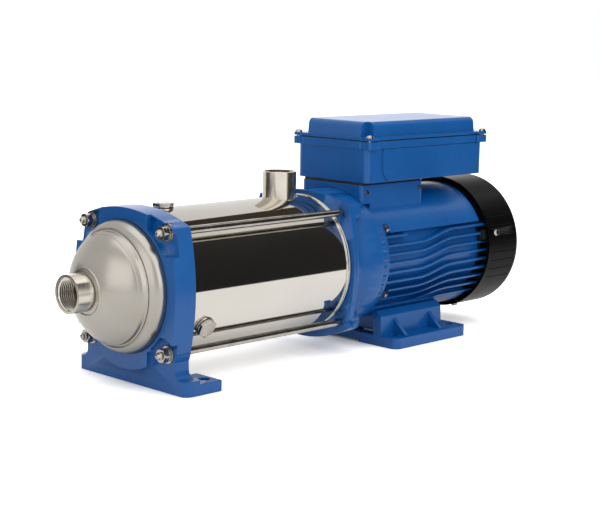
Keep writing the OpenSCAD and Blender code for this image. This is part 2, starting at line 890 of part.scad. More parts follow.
module motor_frame() {
    belly = 41;            // half angle of the smooth underside
    top_angle = 64;        // half angle of the smooth top
    color(blue) difference() {
        union() {
            bar(frame_x, frame_len, core_d);
            bar(frame_x, 5, body_d);
            intersection() {
                bar(frame_x, frame_len, body_d);
                union() {
                    along(frame_x, frame_len) sector(90, top_angle);
                    along(frame_x, frame_len) sector(-90, belly);
                }
            }
            intersection() {
                bar(frame_x, fin_end - frame_x, body_d);
                for (s = signs)
                    translate([0, s > 0 ? fin_half - 40 : -fin_half, shaft_h])
                        rotate([90, 0, 0]) mirror([0, 0, 1]) linear_extrude(40) {
                            for (i = [-fin_rows_down:fin_rows_up])
                                fin_outline((i + 0.6) * fin_pitch);
                            translate([fin_x, (fin_rows_up + 1.6) * fin_pitch])
                                square([36, fin_t]);
                        }
            }
            translate([pedestal_mid, 0, shaft_h + 20])
                linear_extrude(box_z - box_seal_t - 20) rounded(pedestal_len, pedestal_w, 6);
        }
        bar(pedestal_mid - pedestal_len, pedestal_len - pedestal_mid + frame_x,
            neck_flange_d + 2 * seat);
        bar(frame_x - eps, fin_end, frame_bore);
        translate([pedestal_mid, 0, shaft_h + core_r + 3])
            linear_extrude(50) rounded(pedestal_len - 12, pedestal_w - 12, 5);
        translate([pedestal_mid, 0, shaft_h]) cylinder(h = 90, d = 24);
        bar(frame_end, 40, core_d);
        for (a = cover_screw_angles) cover_lug(a, 2);
        at_frame_screws() cylinder(h = 8, d = 11);
    }
}

// Wedge of the section round one direction
module sector(dir, half) {
    far = 120;
    rotate(dir) polygon([[0, 0], [far, -far * tan(half)], [far, far * tan(half)]]);
}

module stator_core() {
    color("#6E7074") ring(core_x, core_len, frame_bore - 2 * sliding, rotor_d + 2 * air_gap);
}

module stator_windings() {
    len = 20;
    inner = rotor_d / 2 + 5;
    outer = frame_bore / 2 - 2;
    for (x = [core_x - len, core_x + core_len])
        color("#9A4B1F") turned()
            translate([(inner + outer) / 2, x + len / 2]) rounded(outer - inner, len, 6);
}

module rotor_core() {
    color("#83868A") ring(core_x, core_len, rotor_d, 28 + 2 * sliding);
}

module rotor_end_rings() {
    for (x = [core_x - 9, core_x + core_len])
        color("silver") ring(x, 9, rotor_d - 4, 40);
}

// Screws with washers that hold the front end shield to the frame
module at_frame_screws() {
    for (a = [30, 150, 210, 330])
        translate([frame_x + 5, 0, shaft_h]) rotate([a, 0, 0])
            translate([0, body_r, 0]) rotate([0, 90, 0]) children();
}

module frame_screws() {
    color(bright) at_frame_screws() {
        cylinder(h = 1.2, d = 9);
        linear_extrude(5.2) hexagon(7);
    }
}

// Motor foot: saddle under the frame, bolted on
foot_x = frame_x + 14;
saddle_r = body_r + 0.02;
foot_recess = 14;      // depth of the hollow under the foot

module motor_foot() {
    half = motor_foot_w / 2;
    leg = 55;              // half width over the legs' outer faces
    top = 40;              // height of the saddle's edges above the mounting surface
    shoulder = 48;
    leg_len = motor_foot_len - 20;
    hollow = 13;           // depth of the hollows in the foot's ends
    color(blue) difference() {
        union() {
            translate([foot_x + motor_foot_len / 2, 0, 0])
                linear_extrude(motor_foot_t) rounded(motor_foot_len, motor_foot_w, 8);
            along(foot_x, leg_len) translate([0, -shaft_h])
                polygon([[-leg - 2, 0], [leg + 2, 0], [leg, top - 6], [shoulder, top],
                         [-shoulder, top], [-leg, top - 6]]);
            for (s = signs, x = [foot_x + 22, foot_x + leg_len - 24])
                translate([x, 0, 0]) rotate([90, 0, 90]) linear_extrude(5)
                    polygon([[s * (leg - 4), motor_foot_t - 1], [s * (half - 6), motor_foot_t - 1],
                             [s * (half - 6), motor_foot_t + 1], [s * leg, top - 10],
                             [s * (leg - 4), top - 10]]);
        }
        bar(foot_x - 1, motor_foot_len + 2, 2 * saddle_r);
        translate([foot_x - eps, -22, -eps]) cube([motor_foot_len + 1, 44, 2]);
        translate([foot_x + hollow, -40, -eps])
            cube([leg_len - 2 * hollow, 80, foot_recess + eps]);
        for (x = [foot_x - eps, foot_x + leg_len - hollow])
            along(x, hollow + eps) translate([0, motor_foot_t - shaft_h])
                polygon([[-leg + 10, 0], [leg - 10, 0], [leg - 16, top], [-leg + 16, top]]);
        for (x = signs, y = signs)
            translate([foot_x + motor_foot_len / 2 + x * motor_hole_x / 2,
                       y * motor_hole_y / 2, -eps])
                cylinder(h = motor_foot_t + 2 * eps, d = motor_hole_d);
    }
}

module foot_screws() {
    h = 5.5;
    color(bright) for (x = [foot_x + 25, foot_x + motor_foot_len - 45])
        translate([x, 0, foot_recess - h]) cylinder(h = h, d = 12);
}

// Fan and its cover
cover_screw_angles = [77.4, 167.4, 257.4, 347.4];
cover_screw_x = cover_x + 15;

module cover_screw_place(a) {
    translate([cover_screw_x, 0, shaft_h]) rotate([a, 0, 0]) translate([0, 0, cover_r - 24])
        children();
}

module cooling_fan() {
    hub = 12;
    tip = cover_in - 7;
    color("#2A2A2A") difference() {
        union() {
            bar(fan_x, fan_w, 2 * hub);
            bar(fan_x, 2, 2 * tip - 16);
            for (b = [0:fan_blades - 1])
                along(fan_x + 1, fan_w - 1) rotate(b * 360 / fan_blades)
                    translate([hub - 1, -0.9]) square([tip - hub + 1, 1.8]);
        }
        bar(fan_x - eps, fan_w + 2 * eps, pump_shaft_d + 2 * sliding);
    }
}

module fan_retaining_ring() {
    color(bright) ring(fan_x + fan_w, 1.2, pump_shaft_d + 5, pump_shaft_d + 2 * sliding);
}

module cover_outline(inset) {
    r = cover_r - inset;
    edge = cover_edge_r - inset;
    end = cover_end - inset;
    translate([0, cover_x]) square([r, cover_len - cover_edge_r]);
    translate([0, cover_x]) square([r - edge, end - cover_x]);
    translate([r - edge, end - edge]) circle(edge, $fn = 48);
}

module fan_cover() {
    slot = 6;
    bridge = 5;
    centre = 14;
    pitch = (cover_r - cover_edge_r - centre - 4) / grille_rings;
    color(black) difference() {
        turned() difference() {
            cover_outline(0);
            cover_outline(cover_wall);
            translate([0, cover_x - 1]) square([cover_in, 10]);
        }
        for (i = [0:grille_rings - 1])
            difference() {
                ring(cover_end - cover_wall - 1, cover_wall + 2,
                     2 * (centre + i * pitch + slot), 2 * (centre + i * pitch));
                for (s = [0:grille_spokes / 2 - 1])
                    along(cover_end - cover_wall - 2, cover_wall + 4)
                        rotate((s + 0.5) * 360 / grille_spokes)
                            square([400, bridge], center = true);
            }
        for (s = signs, i = [-4:3])
            translate([cover_x + 6, 0, shaft_h + (i + 0.5) * fin_pitch - 0.4])
                translate([0, s * sqrt(pow(cover_r, 2) - pow((i + 0.5) * fin_pitch, 2)) - 0.6, 0])
                    cube([cover_len - 16, 1.2, 0.8]);
        for (a = cover_screw_angles) cover_screw_place(a) cylinder(h = 40, d = 5);
    }
}

module fan_cover_screws() {
    color(bright) for (a = cover_screw_angles) cover_screw_place(a) {
        translate([0, 0, 13]) cylinder(h = 11 + 0.4, d = 3.9);
        translate([0, 0, 24 + 0.02]) cylinder(h = 2.4, d1 = 8, d2 = 6);
    }
}

// Terminal box
box_mid = box_x + box_len / 2;
seam_z = shaft_h + box_z + box_base_h;
ear_out_x = 2;         // reach of the corner ears past the box's ends
ear_out_y = 5;         // and past its sides
box_r = 8;             // rounding of the box's upright corners
rim_out = 1.2;         // the rims at the seam stand out by this much
lid_screw_in = 2.5;    // distance of the lid screws from the box's ends
lid_screw_out = 0.5;   // distance of the lid screws outside the box's sides
pad_z = seam_z + 4.4;  // seats of the lid screws

module at_lid_screws() {
    for (x = signs, y = signs)
        translate([box_mid + x * (box_len / 2 - lid_screw_in),
                   y * (box_w / 2 + lid_screw_out), 0]) children();
}

module corner_ears(z, h) {
    side = 17;
    for (x = signs, y = signs)
        translate([box_mid + x * (box_len / 2 + ear_out_x - side / 2),
                   y * (box_w / 2 + ear_out_y - side / 2), z])
            linear_extrude(h) rounded(side, side, 3);
}

module terminal_box_base() {
    z = shaft_h + box_z;
    ear_drop = 8.4;
    inner_l = box_len - 2 * box_wall;
    inner_w = box_w - 2 * box_wall;
    color(blue) difference() {
        union() {
            translate([box_mid, 0, z]) linear_extrude(box_base_h) rounded(box_len, box_w, box_r);
            corner_ears(seam_z - ear_drop, ear_drop);
            translate([box_mid, 0, seam_z - ear_drop]) linear_extrude(ear_drop)
                rounded(box_len + 2 * rim_out, box_w + 2 * rim_out, box_r + rim_out);
            gland_panel();
        }
        translate([box_mid, 0, z + box_wall])
            linear_extrude(box_base_h) rounded(inner_l, inner_w, box_r - box_wall);
        translate([pedestal_mid, 0, z - 1]) cylinder(h = 10, d = 24);
        at_lid_screws() translate([0, 0, seam_z - ear_drop + 1]) cylinder(h = 20, d = 5);
    }
}

// Raised panel on the left side with one rounded lower corner
module gland_panel() {
    from = 25;
    to = box_len - 9;
    low = 1.5;
    high = box_base_h - 9;
    r = 14;
    translate([box_x, -box_w / 2 - 1.6, shaft_h + box_z]) rotate([90, 0, 0])
        mirror([0, 0, 1]) linear_extrude(5) difference() {
            translate([from, low]) square([to - from, high - low]);
            difference() {
                translate([from - eps, low - eps]) square(r);
                translate([from + r, low + r]) circle(r);
            }
        }
}

module terminal_box_seal() {
    len = pedestal_len - 6;
    w = pedestal_w - 6;
    color(black) translate([pedestal_mid, 0, shaft_h + box_z - box_seal_t])
        linear_extrude(box_seal_t) difference() {
            rounded(len, w, 5);
            rounded(len - 8, w - 8, 3);
        }
}

lid_seal_t = 1.2;

module lid_seal() {
    color(black) translate([box_mid, 0, seam_z]) linear_extrude(lid_seal_t) difference() {
        rounded(box_len - 1, box_w - 1, box_r);
        rounded(box_len - 2 * box_wall - 4, box_w - 2 * box_wall - 4, box_r - box_wall);
    }
}

// Plan of the lid's raised middle: a rectangle with a square notch at each corner
module raised_plan(inset) {
    l = box_len - 6 - 2 * inset;
    w = box_w - 6 - 2 * inset;
    n = lid_notch - 3;
    difference() {
        rounded(l, w, 3);
        for (x = signs, y = signs)
            translate([x * l / 2, y * w / 2]) square(2 * n, center = true);
    }
}

module terminal_box_lid() {
    z = seam_z + lid_seal_t;
    top = lid_h - lid_seal_t;
    edge = 7;
    color(blue) difference() {
        union() {
            translate([box_mid, 0, z]) linear_extrude(pad_z - z)
                rounded(box_len + 2 * rim_out, box_w + 2 * rim_out, box_r + rim_out);
            corner_ears(z, pad_z - z);
            intersection() {
                translate([box_mid, 0, z]) linear_extrude(top) raised_plan(0);
                translate([box_mid, far, z]) rotate([90, 0, 0]) linear_extrude(2 * far)
                    lid_profile(box_len - 6, top, edge);
                translate([box_mid - far, 0, z]) rotate([90, 0, 90]) linear_extrude(2 * far)
                    lid_profile(box_w - 6, top, edge);
            }
        }
        translate([box_mid, 0, z - eps]) linear_extrude(top - 4) raised_plan(box_wall);
        at_lid_screws() translate([0, 0, z - 1]) cylinder(h = 20, d = 5.2);
    }
}

// Side view of the lid's raised middle, with rounded and slightly leaning top edges
module lid_profile(w, h, r) {
    lean = 1.5;
    polygon([[-w / 2, 0], [w / 2, 0], [w / 2 - lean, h - r], [w / 2 - lean - r, h],
             [-w / 2 + lean + r, h], [-w / 2 + lean, h - r]]);
    for (s = signs) translate([s * (w / 2 - lean - r), h - r]) circle(r);
}

module lid_screws() {
    color(bright) at_lid_screws() {
        translate([0, 0, seam_z - 7]) cylinder(h = pad_z - seam_z + 8, d = 4.4);
        translate([0, 0, pad_z + 0.02]) cylinder(h = 3, d1 = 8.4, d2 = 7.4);
    }
}

module terminal_block() {
    color("#D8D2C0") translate([box_x + 26, -22, shaft_h + box_z + box_wall]) difference() {
        cube([60, 44, 16]);
        for (i = [0:5])
            translate([7 + (i % 3) * 20, 11 + floor(i / 3) * 22, 8]) cylinder(h = 9, d = 8);
    }
}

module run_capacitor() {
    d = 36;
    len = 78;
    color("#EDEDEA") translate([box_x + box_len - len - 20, 0, shaft_h + box_z + box_wall + d / 2])
        rotate([0, 90, 0]) cylinder(h = len, d = d);
}

// Earthing screws on the pedestal's left side
module earth_screws() {
    y = -pedestal_w / 2;
    color(bright) for (x = [box_x + 8, box_x + pedestal_len - 8])
        translate([x, y, shaft_h + box_z - 8 - box_seal_t]) rotate([90, 0, 0])
            cylinder(h = 2.5, d = 5);
}

front_bracket();
pump_casing();
suction_port();
discharge_port();
plug_bosses();
fill_plug();
fill_plug_seal();
drain_plug();
drain_plug_seal();
tie_rods();
tie_rod_nuts();
tie_rod_washers();
stage_bowls();
impellers();
impeller_spacers();
impeller_nut();
seal_housing();
casing_o_ring();
seal_seat();
seal_face_ring();
seal_spring();
motor_adapter();
shaft();
front_bearing_outer_ring();
front_bearing_inner_ring();
front_bearing_balls();
rear_bearing_outer_ring();
rear_bearing_inner_ring();
rear_bearing_balls();
bearing_spring();
front_end_shield();
motor_frame();
stator_core();
stator_windings();
rotor_core();
rotor_end_rings();
rear_end_shield();
frame_screws();
motor_foot();
foot_screws();
cooling_fan();
fan_retaining_ring();
fan_cover();
fan_cover_screws();
terminal_box_base();
terminal_box_seal();
terminal_box_lid();
lid_seal();
lid_screws();
terminal_block();
run_capacitor();
earth_screws();
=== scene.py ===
import math

import bpy
from mathutils import Matrix, Vector


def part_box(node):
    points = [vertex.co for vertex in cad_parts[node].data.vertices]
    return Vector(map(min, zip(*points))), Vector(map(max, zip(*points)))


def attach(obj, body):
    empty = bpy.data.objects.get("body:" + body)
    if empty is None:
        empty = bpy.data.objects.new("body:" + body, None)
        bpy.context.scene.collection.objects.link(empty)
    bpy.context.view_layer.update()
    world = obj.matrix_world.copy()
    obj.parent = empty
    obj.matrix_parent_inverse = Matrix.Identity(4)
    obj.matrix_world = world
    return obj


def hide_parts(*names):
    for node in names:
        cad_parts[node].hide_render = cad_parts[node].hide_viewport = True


# Multistage booster pump: finishes, castings, casing, fasteners, welds and a pale studio
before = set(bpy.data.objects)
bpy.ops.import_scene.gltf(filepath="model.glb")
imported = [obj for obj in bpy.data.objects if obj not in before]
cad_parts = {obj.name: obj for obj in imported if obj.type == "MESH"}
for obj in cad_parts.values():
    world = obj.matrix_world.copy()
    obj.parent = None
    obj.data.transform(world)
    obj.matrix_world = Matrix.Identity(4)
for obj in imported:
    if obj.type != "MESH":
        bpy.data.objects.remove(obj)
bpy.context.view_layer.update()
bpy.ops.object.select_all(action="DESELECT")
axisHeight = 0.100  # the shaft above the floor
corners = ((-1, -1), (-1, 1), (1, -1), (1, 1))  # signs of what stands at four corners
print("frame loaded with", len(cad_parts), "nodes")


def linear(hexColour):
    channels = [int(hexColour[i:i + 2], 16) / 255 for i in (0, 2, 4)]
    return tuple(c / 12.92 if c <= 0.04045 else ((c + 0.055) / 1.055) ** 2.4 for c in channels) + (1,)


def feed(tree, node, links):
    # links: socket of this node, and the node and output that feed it
    for socket, (source, output) in links.items():
        tree.links.new(source.outputs[output], node.inputs[socket])


def addNode(tree, kind, spot, settings, links):
    # settings go to the sockets, to a ramp's stops or to the node itself
    node = tree.nodes.new("ShaderNode" + kind)
    node.location = spot
    for name, value in settings.items():
        if name == "stops":
            for element, (position, colour) in zip(node.color_ramp.elements, value):
                element.position = position
                element.color = linear(colour)
        elif isinstance(name, int) or name in node.inputs:
            node.inputs[name].default_value = value
        else:
            setattr(node, name, value)
    feed(tree, node, links)
    return node


def newMaterial(name, colour, roughness, sockets):
    material = bpy.data.materials.new(name)
    material.use_nodes = True
    shader = material.node_tree.nodes["Principled BSDF"]
    shader.inputs["Base Color"].default_value = linear(colour)
    shader.inputs["Roughness"].default_value = roughness
    for socket, value in sockets.items():
        shader.inputs[socket].default_value = value
    return material, shader


# all sizes of patterns, reliefs and edges are millimetres on the real pump
enamel = {
    "colour": "0360AA",
    "shade": "024D92",
    "drift": 70,         # slow change of the paint's depth
    "rough": (0.28, 0.38),
    "peel": 1.8,         # orange peel of the sprayed coat
    "peelDepth": 0.04,
    "grain": 7.5,        # waviness of the sand casting below
    "grainDepth": 0.22,
    "edge": 1.3,         # rounding of the casting's edges
    "gleam": 0.36,
    "coat": 0.12,
    "coatRough": 0.06,
}


def makeEnamel():
    # sprayed blue enamel on cast iron and aluminium: even colour, soft gloss, slightly wavy highlights
    material, shader = newMaterial("blueEnamelOnCasting", enamel["colour"], 0.3, {
        "Specular IOR Level": enamel["gleam"], "Coat Weight": enamel["coat"],
        "Coat Roughness": enamel["coatRough"]})
    tree = material.node_tree
    coords = addNode(tree, "TexCoord", (-1200, 0), {}, {})
    drift = addNode(tree, "TexNoise", (-900, 300), {"Scale": 1000 / enamel["drift"], "Detail": 2},
                    {"Vector": (coords, "Object")})
    paint = addNode(tree, "ValToRGB", (-600, 300),
                    {"stops": ((0.0, enamel["shade"]), (1.0, enamel["colour"]))}, {"Fac": (drift, "Fac")})
    low, high = enamel["rough"]
    gloss = addNode(tree, "MapRange", (-300, 100), {"To Min": low, "To Max": high}, {"Value": (drift, "Fac")})
    edge = addNode(tree, "Bevel", (-900, -500), {"samples": 4, "Radius": enamel["edge"] / 1000}, {})
    grain = addNode(tree, "TexNoise", (-900, -100), {"Scale": 1000 / enamel["grain"], "Detail": 3},
                    {"Vector": (coords, "Object")})
    peel = addNode(tree, "TexNoise", (-900, -300), {"Scale": 1000 / enamel["peel"], "Detail": 1},
                   {"Vector": (coords, "Object")})
    cast = addNode(tree, "Bump", (-500, -200), {"Distance": enamel["grainDepth"] / 1000},
                   {"Height": (grain, "Fac"), "Normal": (edge, "Normal")})
    spray = addNode(tree, "Bump", (-300, -300), {"Distance": enamel["peelDepth"] / 1000},
                    {"Height": (peel, "Fac"), "Normal": (cast, "Normal")})
    feed(tree, shader, {"Base Color": (paint, "Color"), "Roughness": (gloss, "Result"),
                        "Normal": (spray, "Normal")})
    return material


dome = {
    "colour": "A6A29B",
    "warm": "9A958C",
    "rough": 0.27,
    "cloud": 60,
    "brushPitch": 0.35,   # lines left by spinning, drawn coarser than they are so that they show
    "brushDepth": 0.010,
    "drawnOut": 0.55,     # how far the brush lines draw the highlights out
}


def makeSpunSteel():
    # stainless sheet, spun and brushed round the shaft: highlights fan out from the socket
    material, shader = newMaterial("brushedSpunStainless", dome["colour"], dome["rough"],
                                   {"Metallic": 1.0, "Anisotropic": dome["drawnOut"]})
    tree = material.node_tree
    coords = addNode(tree, "TexCoord", (-1500, 0), {}, {})
    parts = addNode(tree, "SeparateXYZ", (-1300, 0), {}, {"Vector": (coords, "Object")})
    cloud = addNode(tree, "TexNoise", (-900, 500), {"Scale": 1000 / dome["cloud"], "Detail": 2},
                    {"Vector": (coords, "Object")})
    tint = addNode(tree, "ValToRGB", (-600, 500), {"stops": ((0.3, dome["warm"]), (0.7, dome["colour"]))},
                   {"Fac": (cloud, "Fac")})
    # the brush lines follow the distance from the shaft's axis
    lift = addNode(tree, "Math", (-1100, -100), {"operation": "SUBTRACT", 1: axisHeight}, {0: (parts, "Z")})
    flat = addNode(tree, "CombineXYZ", (-900, -100), {}, {"Y": (parts, "Y"), "Z": (lift, "Value")})
    radius = addNode(tree, "VectorMath", (-700, -100), {"operation": "LENGTH"}, {0: (flat, "Vector")})
    line = addNode(tree, "CombineXYZ", (-500, -100), {}, {"X": (radius, "Value"), "Y": (parts, "X")})
    brush = addNode(tree, "TexNoise", (-300, -100), {"Scale": 1000 / dome["brushPitch"], "Detail": 2},
                    {"Vector": (line, "Vector")})
    relief = addNode(tree, "Bump", (100, -200), {"Distance": dome["brushDepth"] / 1000},
                     {"Height": (brush, "Fac")})
    grain = addNode(tree, "Tangent", (100, -400), {"direction_type": "RADIAL", "axis": "X"}, {})
    feed(tree, shader, {"Base Color": (tint, "Color"), "Normal": (relief, "Normal"),
                        "Tangent": (grain, "Tangent")})
    return material


tube = {
    "colour": "C9C5BE",
    "warm": "C0BBB2",
    "rough": (0.045, 0.0675),
    "cloud": 120,
    "wave": 20,           # trace of waviness left in the drawn sheet, along the shaft
    "waveStretch": 0.2,
    "waveDepth": 0.01,
}


def makePolishedSteel():
    # mirror polished stainless tube: clear reflections that bend a little along the shaft
    low, high = tube["rough"]
    material, shader = newMaterial("mirrorPolishedTube", tube["colour"], low, {"Metallic": 1.0})
    tree = material.node_tree
    coords = addNode(tree, "TexCoord", (-1300, 0), {}, {})
    cloud = addNode(tree, "TexNoise", (-900, 500), {"Scale": 1000 / tube["cloud"], "Detail": 1},
                    {"Vector": (coords, "Object")})
    tint = addNode(tree, "ValToRGB", (-600, 500), {"stops": ((0.3, tube["warm"]), (0.7, tube["colour"]))},
                   {"Fac": (cloud, "Fac")})
    gloss = addNode(tree, "MapRange", (-600, 200),
                    {"From Min": 0.3, "From Max": 0.7, "To Min": low, "To Max": high},
                    {"Value": (cloud, "Fac")})
    along = addNode(tree, "Mapping", (-900, -200), {"Scale": (tube["waveStretch"], 1, 1)},
                    {"Vector": (coords, "Object")})
    wave = addNode(tree, "TexNoise", (-600, -200), {"Scale": 1000 / tube["wave"], "Detail": 1},
                   {"Vector": (along, "Vector")})
    relief = addNode(tree, "Bump", (-300, -200), {"Distance": tube["waveDepth"] / 1000},
                     {"Height": (wave, "Fac")})
    feed(tree, shader, {"Base Color": (tint, "Color"), "Roughness": (gloss, "Result"),
                        "Normal": (relief, "Normal")})
    return material


def makeFinish(name, light, dark, rough, marks, depth, stretch=(1, 1, 1), edge=0.0, metal=True, gleam=0.5):
    # tone and gloss drift together over eight marks, with fine tool or mould marks on top
    material, shader = newMaterial(name, light, sum(rough) / 2,
                                   {"Metallic": 1.0 if metal else 0.0, "Specular IOR Level": gleam})
    tree = material.node_tree
    coords = addNode(tree, "TexCoord", (-1300, 0), {}, {})
    cloud = addNode(tree, "TexNoise", (-900, 300), {"Scale": 1000 / marks / 8, "Detail": 3},
                    {"Vector": (coords, "Object")})
    tone = addNode(tree, "ValToRGB", (-600, 300), {"stops": ((0.3, dark), (0.7, light))},
                   {"Fac": (cloud, "Fac")})
    gloss = addNode(tree, "MapRange", (-600, 50),
                    {"From Min": 0.3, "From Max": 0.7, "To Min": rough[0], "To Max": rough[1]},
                    {"Value": (cloud, "Fac")})
    drawn = addNode(tree, "Mapping", (-1100, -250), {"Scale": stretch}, {"Vector": (coords, "Object")})
    scratch = addNode(tree, "TexNoise", (-900, -250), {"Scale": 1000 / marks, "Detail": 2},
                      {"Vector": (drawn, "Vector")})
    relief = addNode(tree, "Bump", (-300, -250), {"Distance": depth / 1000}, {"Height": (scratch, "Fac")})
    if edge:
        rounded = addNode(tree, "Bevel", (-700, -450), {"samples": 4, "Radius": edge / 1000}, {})
        feed(tree, relief, {"Normal": (rounded, "Normal")})
    feed(tree, shader, {"Base Color": (tone, "Color"), "Roughness": (gloss, "Result"),
                        "Normal": (relief, "Normal")})
    return material


blueEnamel = makeEnamel()
spunSteel = makeSpunSteel()
polishedSteel = makePolishedSteel()
# turned stainless of the sockets and bosses: bright, with highlights a little blurred by tool marks
socketSteel = makeFinish("turnedStainless", "CBC4B8", "BBB4A7", (0.19, 0.23), 3.0, 0.004, edge=0.5)
# cut thread flanks: the brightest steel, without tool marks
threadSteel = makeFinish("cutThreadStainless", "CFC8BC", "BDB5A8", (0.16, 0.2), 4.0, 0.002)
# rolled and plated fasteners: bright but darker than the turned steel
fastenerSteel = makeFinish("brightFastenerSteel", "B3AEA6", "98938B", (0.16, 0.22), 1.6, 0.005, edge=0.4)
# ground and hardened steel of shaft and bearings: sharp, cool highlights
groundSteel = makeFinish("groundSteel", "C2C3C4", "AEB0B2", (0.12, 0.2), 0.8, 0.006)
# pressed sheet of the stages: satin, with the waves of the press
pressedSteel = makeFinish("pressedStainlessSheet", "BEBBB5", "A7A39C", (0.25, 0.36), 3.0, 0.02)
# edges of varnished electrical sheets: dark satin, with fine lines round the stack
laminations = makeFinish("varnishedSheetStack", "6F7173", "585A5C", (0.4, 0.55), 0.6, 0.03, (8, 0.3, 0.3))
# die-cast aluminium of the rotor's end rings: pale and matt
castAluminium = makeFinish("castAluminium", "C6C7C8", "ACAEB0", (0.35, 0.5), 2.0, 0.05)
# enamelled copper wire of the end windings: brown red strands with a soft sheen
copperWire = makeFinish("varnishedCopperWire", "A8562A", "7C3917", (0.25, 0.4), 1.1, 0.18, (6, 0.5, 0.5))
# black stoved paint on the sheet steel fan cover: deep black with broad dim highlights
coverBlack = makeFinish("glossBlackCover", "060607", "030304", (0.30, 0.38), 2.2, 0.02, edge=0.8,
                        metal=False, gleam=0.08)
# near-black on the rear end shield's casting, painted shade for the dark inside of the fan cover: matt and a
# little uneven
endShieldPaintedShade = makeFinish("endShieldShadeBlack", "161617", "0E0E0F", (0.45, 0.6), 4.0, 0.12, edge=1.0,
                          metal=False)
# moulded fan of glass-filled nylon: dark grey, dull
fanPlastic = makeFinish("greyFilledNylon", "2B2C2D", "222324", (0.5, 0.62), 1.5, 0.03, metal=False)
# moulded seal rubber: black, hardly any highlight
rubber = makeFinish("blackSealRubber", "151414", "0E0D0D", (0.6, 0.8), 1.2, 0.04, metal=False)
# lapped ceramic of the fixed seal ring: near white and smooth
ceramic = makeFinish("lappedCeramic", "EEEBE0", "E4E0D2", (0.15, 0.25), 2.0, 0.004, metal=False)
# carbon of the turning seal ring: soft black sheen
carbon = makeFinish("sealCarbon", "1C1C1D", "141415", (0.3, 0.4), 1.0, 0.008, metal=False)
# moulded polyamide of the terminal block: cream and satin
creamPlastic = makeFinish("creamTerminalPlastic", "DDD5C2", "D0C7B2", (0.4, 0.5), 2.0, 0.02, metal=False)
# moulded can of the run capacitor: white, slightly glossy
whitePlastic = makeFinish("whiteCapacitorCan", "EDEDEA", "E2E2DE", (0.3, 0.4), 3.0, 0.02, metal=False)
print("materials made")

finishes = (
    (blueEnamel, ("front_bracket", "motor_adapter", "front_end_shield", "motor_frame", "motor_foot",
                  "terminal_box_base", "terminal_box_lid")),
    (fastenerSteel, ("fill_plug", "drain_plug", "tie_rods", "tie_rod_nuts", "tie_rod_washers",
                     "frame_screws", "foot_screws", "fan_cover_screws", "lid_screws", "earth_screws",
                     "impeller_nut")),
    (rubber, ("fill_plug_seal", "drain_plug_seal", "casing_o_ring", "terminal_box_seal", "lid_seal")),
    (socketSteel, ("suction_port", "discharge_port", "plug_bosses")),
    (pressedSteel, ("stage_bowls", "impellers", "seal_housing")),
    (polishedSteel, ("pump_casing",)),
    (coverBlack, ("fan_cover",)),
    # the rear end shield takes the near-black painted shade of the fan cover's inside
    (endShieldPaintedShade, ("rear_end_shield",)),
    (fanPlastic, ("cooling_fan",)),
    (laminations, ("stator_core", "rotor_core")),
    (castAluminium, ("rotor_end_rings",)),
    (copperWire, ("stator_windings",)),
    (ceramic, ("seal_seat",)),
    (carbon, ("seal_face_ring",)),
    (creamPlastic, ("terminal_block",)),
    (whitePlastic, ("run_capacitor",)),
)
finishOf = {name: finish for finish, names in finishes for name in names}
for name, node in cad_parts.items():
    finish = finishOf.get(name, groundSteel)
    if not node.data.materials:
        node.data.materials.append(finish)
    for slot in node.material_slots:
        slot.material = finish
print("finishes set on the nodes")


def pick(*objects):
    bpy.ops.object.select_all(action="DESELECT")
    for item in objects:
        item.select_set(True)
    bpy.context.view_layer.objects.active = objects[-1]


def erase(piece):
    pick(piece)
    bpy.ops.object.delete()


def settle(piece):
    # puts the piece's place into its mesh
    pick(piece)
    bpy.ops.object.transform_apply(location=True, rotation=True, scale=True)


def place(piece, turn, spot):
    piece.matrix_world = Matrix.Translation(Vector(spot)) @ turn.to_4x4()
    settle(piece)


unturned = Matrix.Identity(3)
alongX = Matrix.Rotation(math.radians(90), 3, "Y")  # turns Z to +X


def copyOf(piece):
    twin = bpy.data.objects.new(piece.name + "Copy", piece.data.copy())
    bpy.context.scene.collection.objects.link(twin)
    return twin


def merge(pieces):
    pick(*pieces)
    bpy.ops.object.join()
    return bpy.context.active_object


def useModifier(piece, kind, **settings):
    pick(piece)
    modifier = piece.modifiers.new(kind.title(), kind)
    for name, value in settings.items():
        setattr(modifier, name, value)
    bpy.ops.object.modifier_apply(modifier=modifier.name)


def combine(piece, tool, operation):
    useModifier(piece, "BOOLEAN", operation=operation, object=tool, solver="EXACT")
    erase(tool)


def finishPiece(piece, name, material, body="pump", replaced=(), smooth=35):
    piece.name = name
    piece.data.name = name
    piece.data.materials.clear()
    piece.data.materials.append(material)
    pick(piece)
    bpy.ops.object.shade_smooth_by_angle(angle=math.radians(smooth))
    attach(piece, body)
    if replaced:
        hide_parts(*replaced)


def tidyNormals(piece):
    pick(piece)
    bpy.ops.object.mode_set(mode="EDIT")
    bpy.ops.mesh.select_all(action="SELECT")
    bpy.ops.mesh.remove_doubles(threshold=0.000002)
    bpy.ops.mesh.normals_make_consistent(inside=False)
    bpy.ops.object.mode_set(mode="OBJECT")


def addBlock(size):
    bpy.ops.object.select_all(action="DESELECT")
    bpy.ops.mesh.primitive_cube_add(size=1)
    piece = bpy.context.active_object
    piece.scale = size
    settle(piece)
    return piece


def lathe(outline, steps=32):
    # outline: (radius, height) pairs from one end to the other, turned round Z
    bpy.ops.object.select_all(action="DESELECT")
    bpy.ops.mesh.primitive_circle_add(vertices=steps, radius=outline[0][0], fill_type="NGON",
                                      location=(0, 0, outline[0][1]))
    piece = bpy.context.active_object
    settle(piece)
    bpy.ops.object.mode_set(mode="EDIT")
    bpy.ops.mesh.select_all(action="SELECT")
    for (r0, h0), (r1, h1) in zip(outline, outline[1:]):
        bpy.ops.mesh.extrude_region_move(TRANSFORM_OT_translate={"value": (0, 0, h1 - h0)})
        bpy.ops.transform.resize(value=(r1 / r0, r1 / r0, 1), center_override=(0, 0, h1))
    bpy.ops.object.mode_set(mode="OBJECT")
    tidyNormals(piece)
    return piece


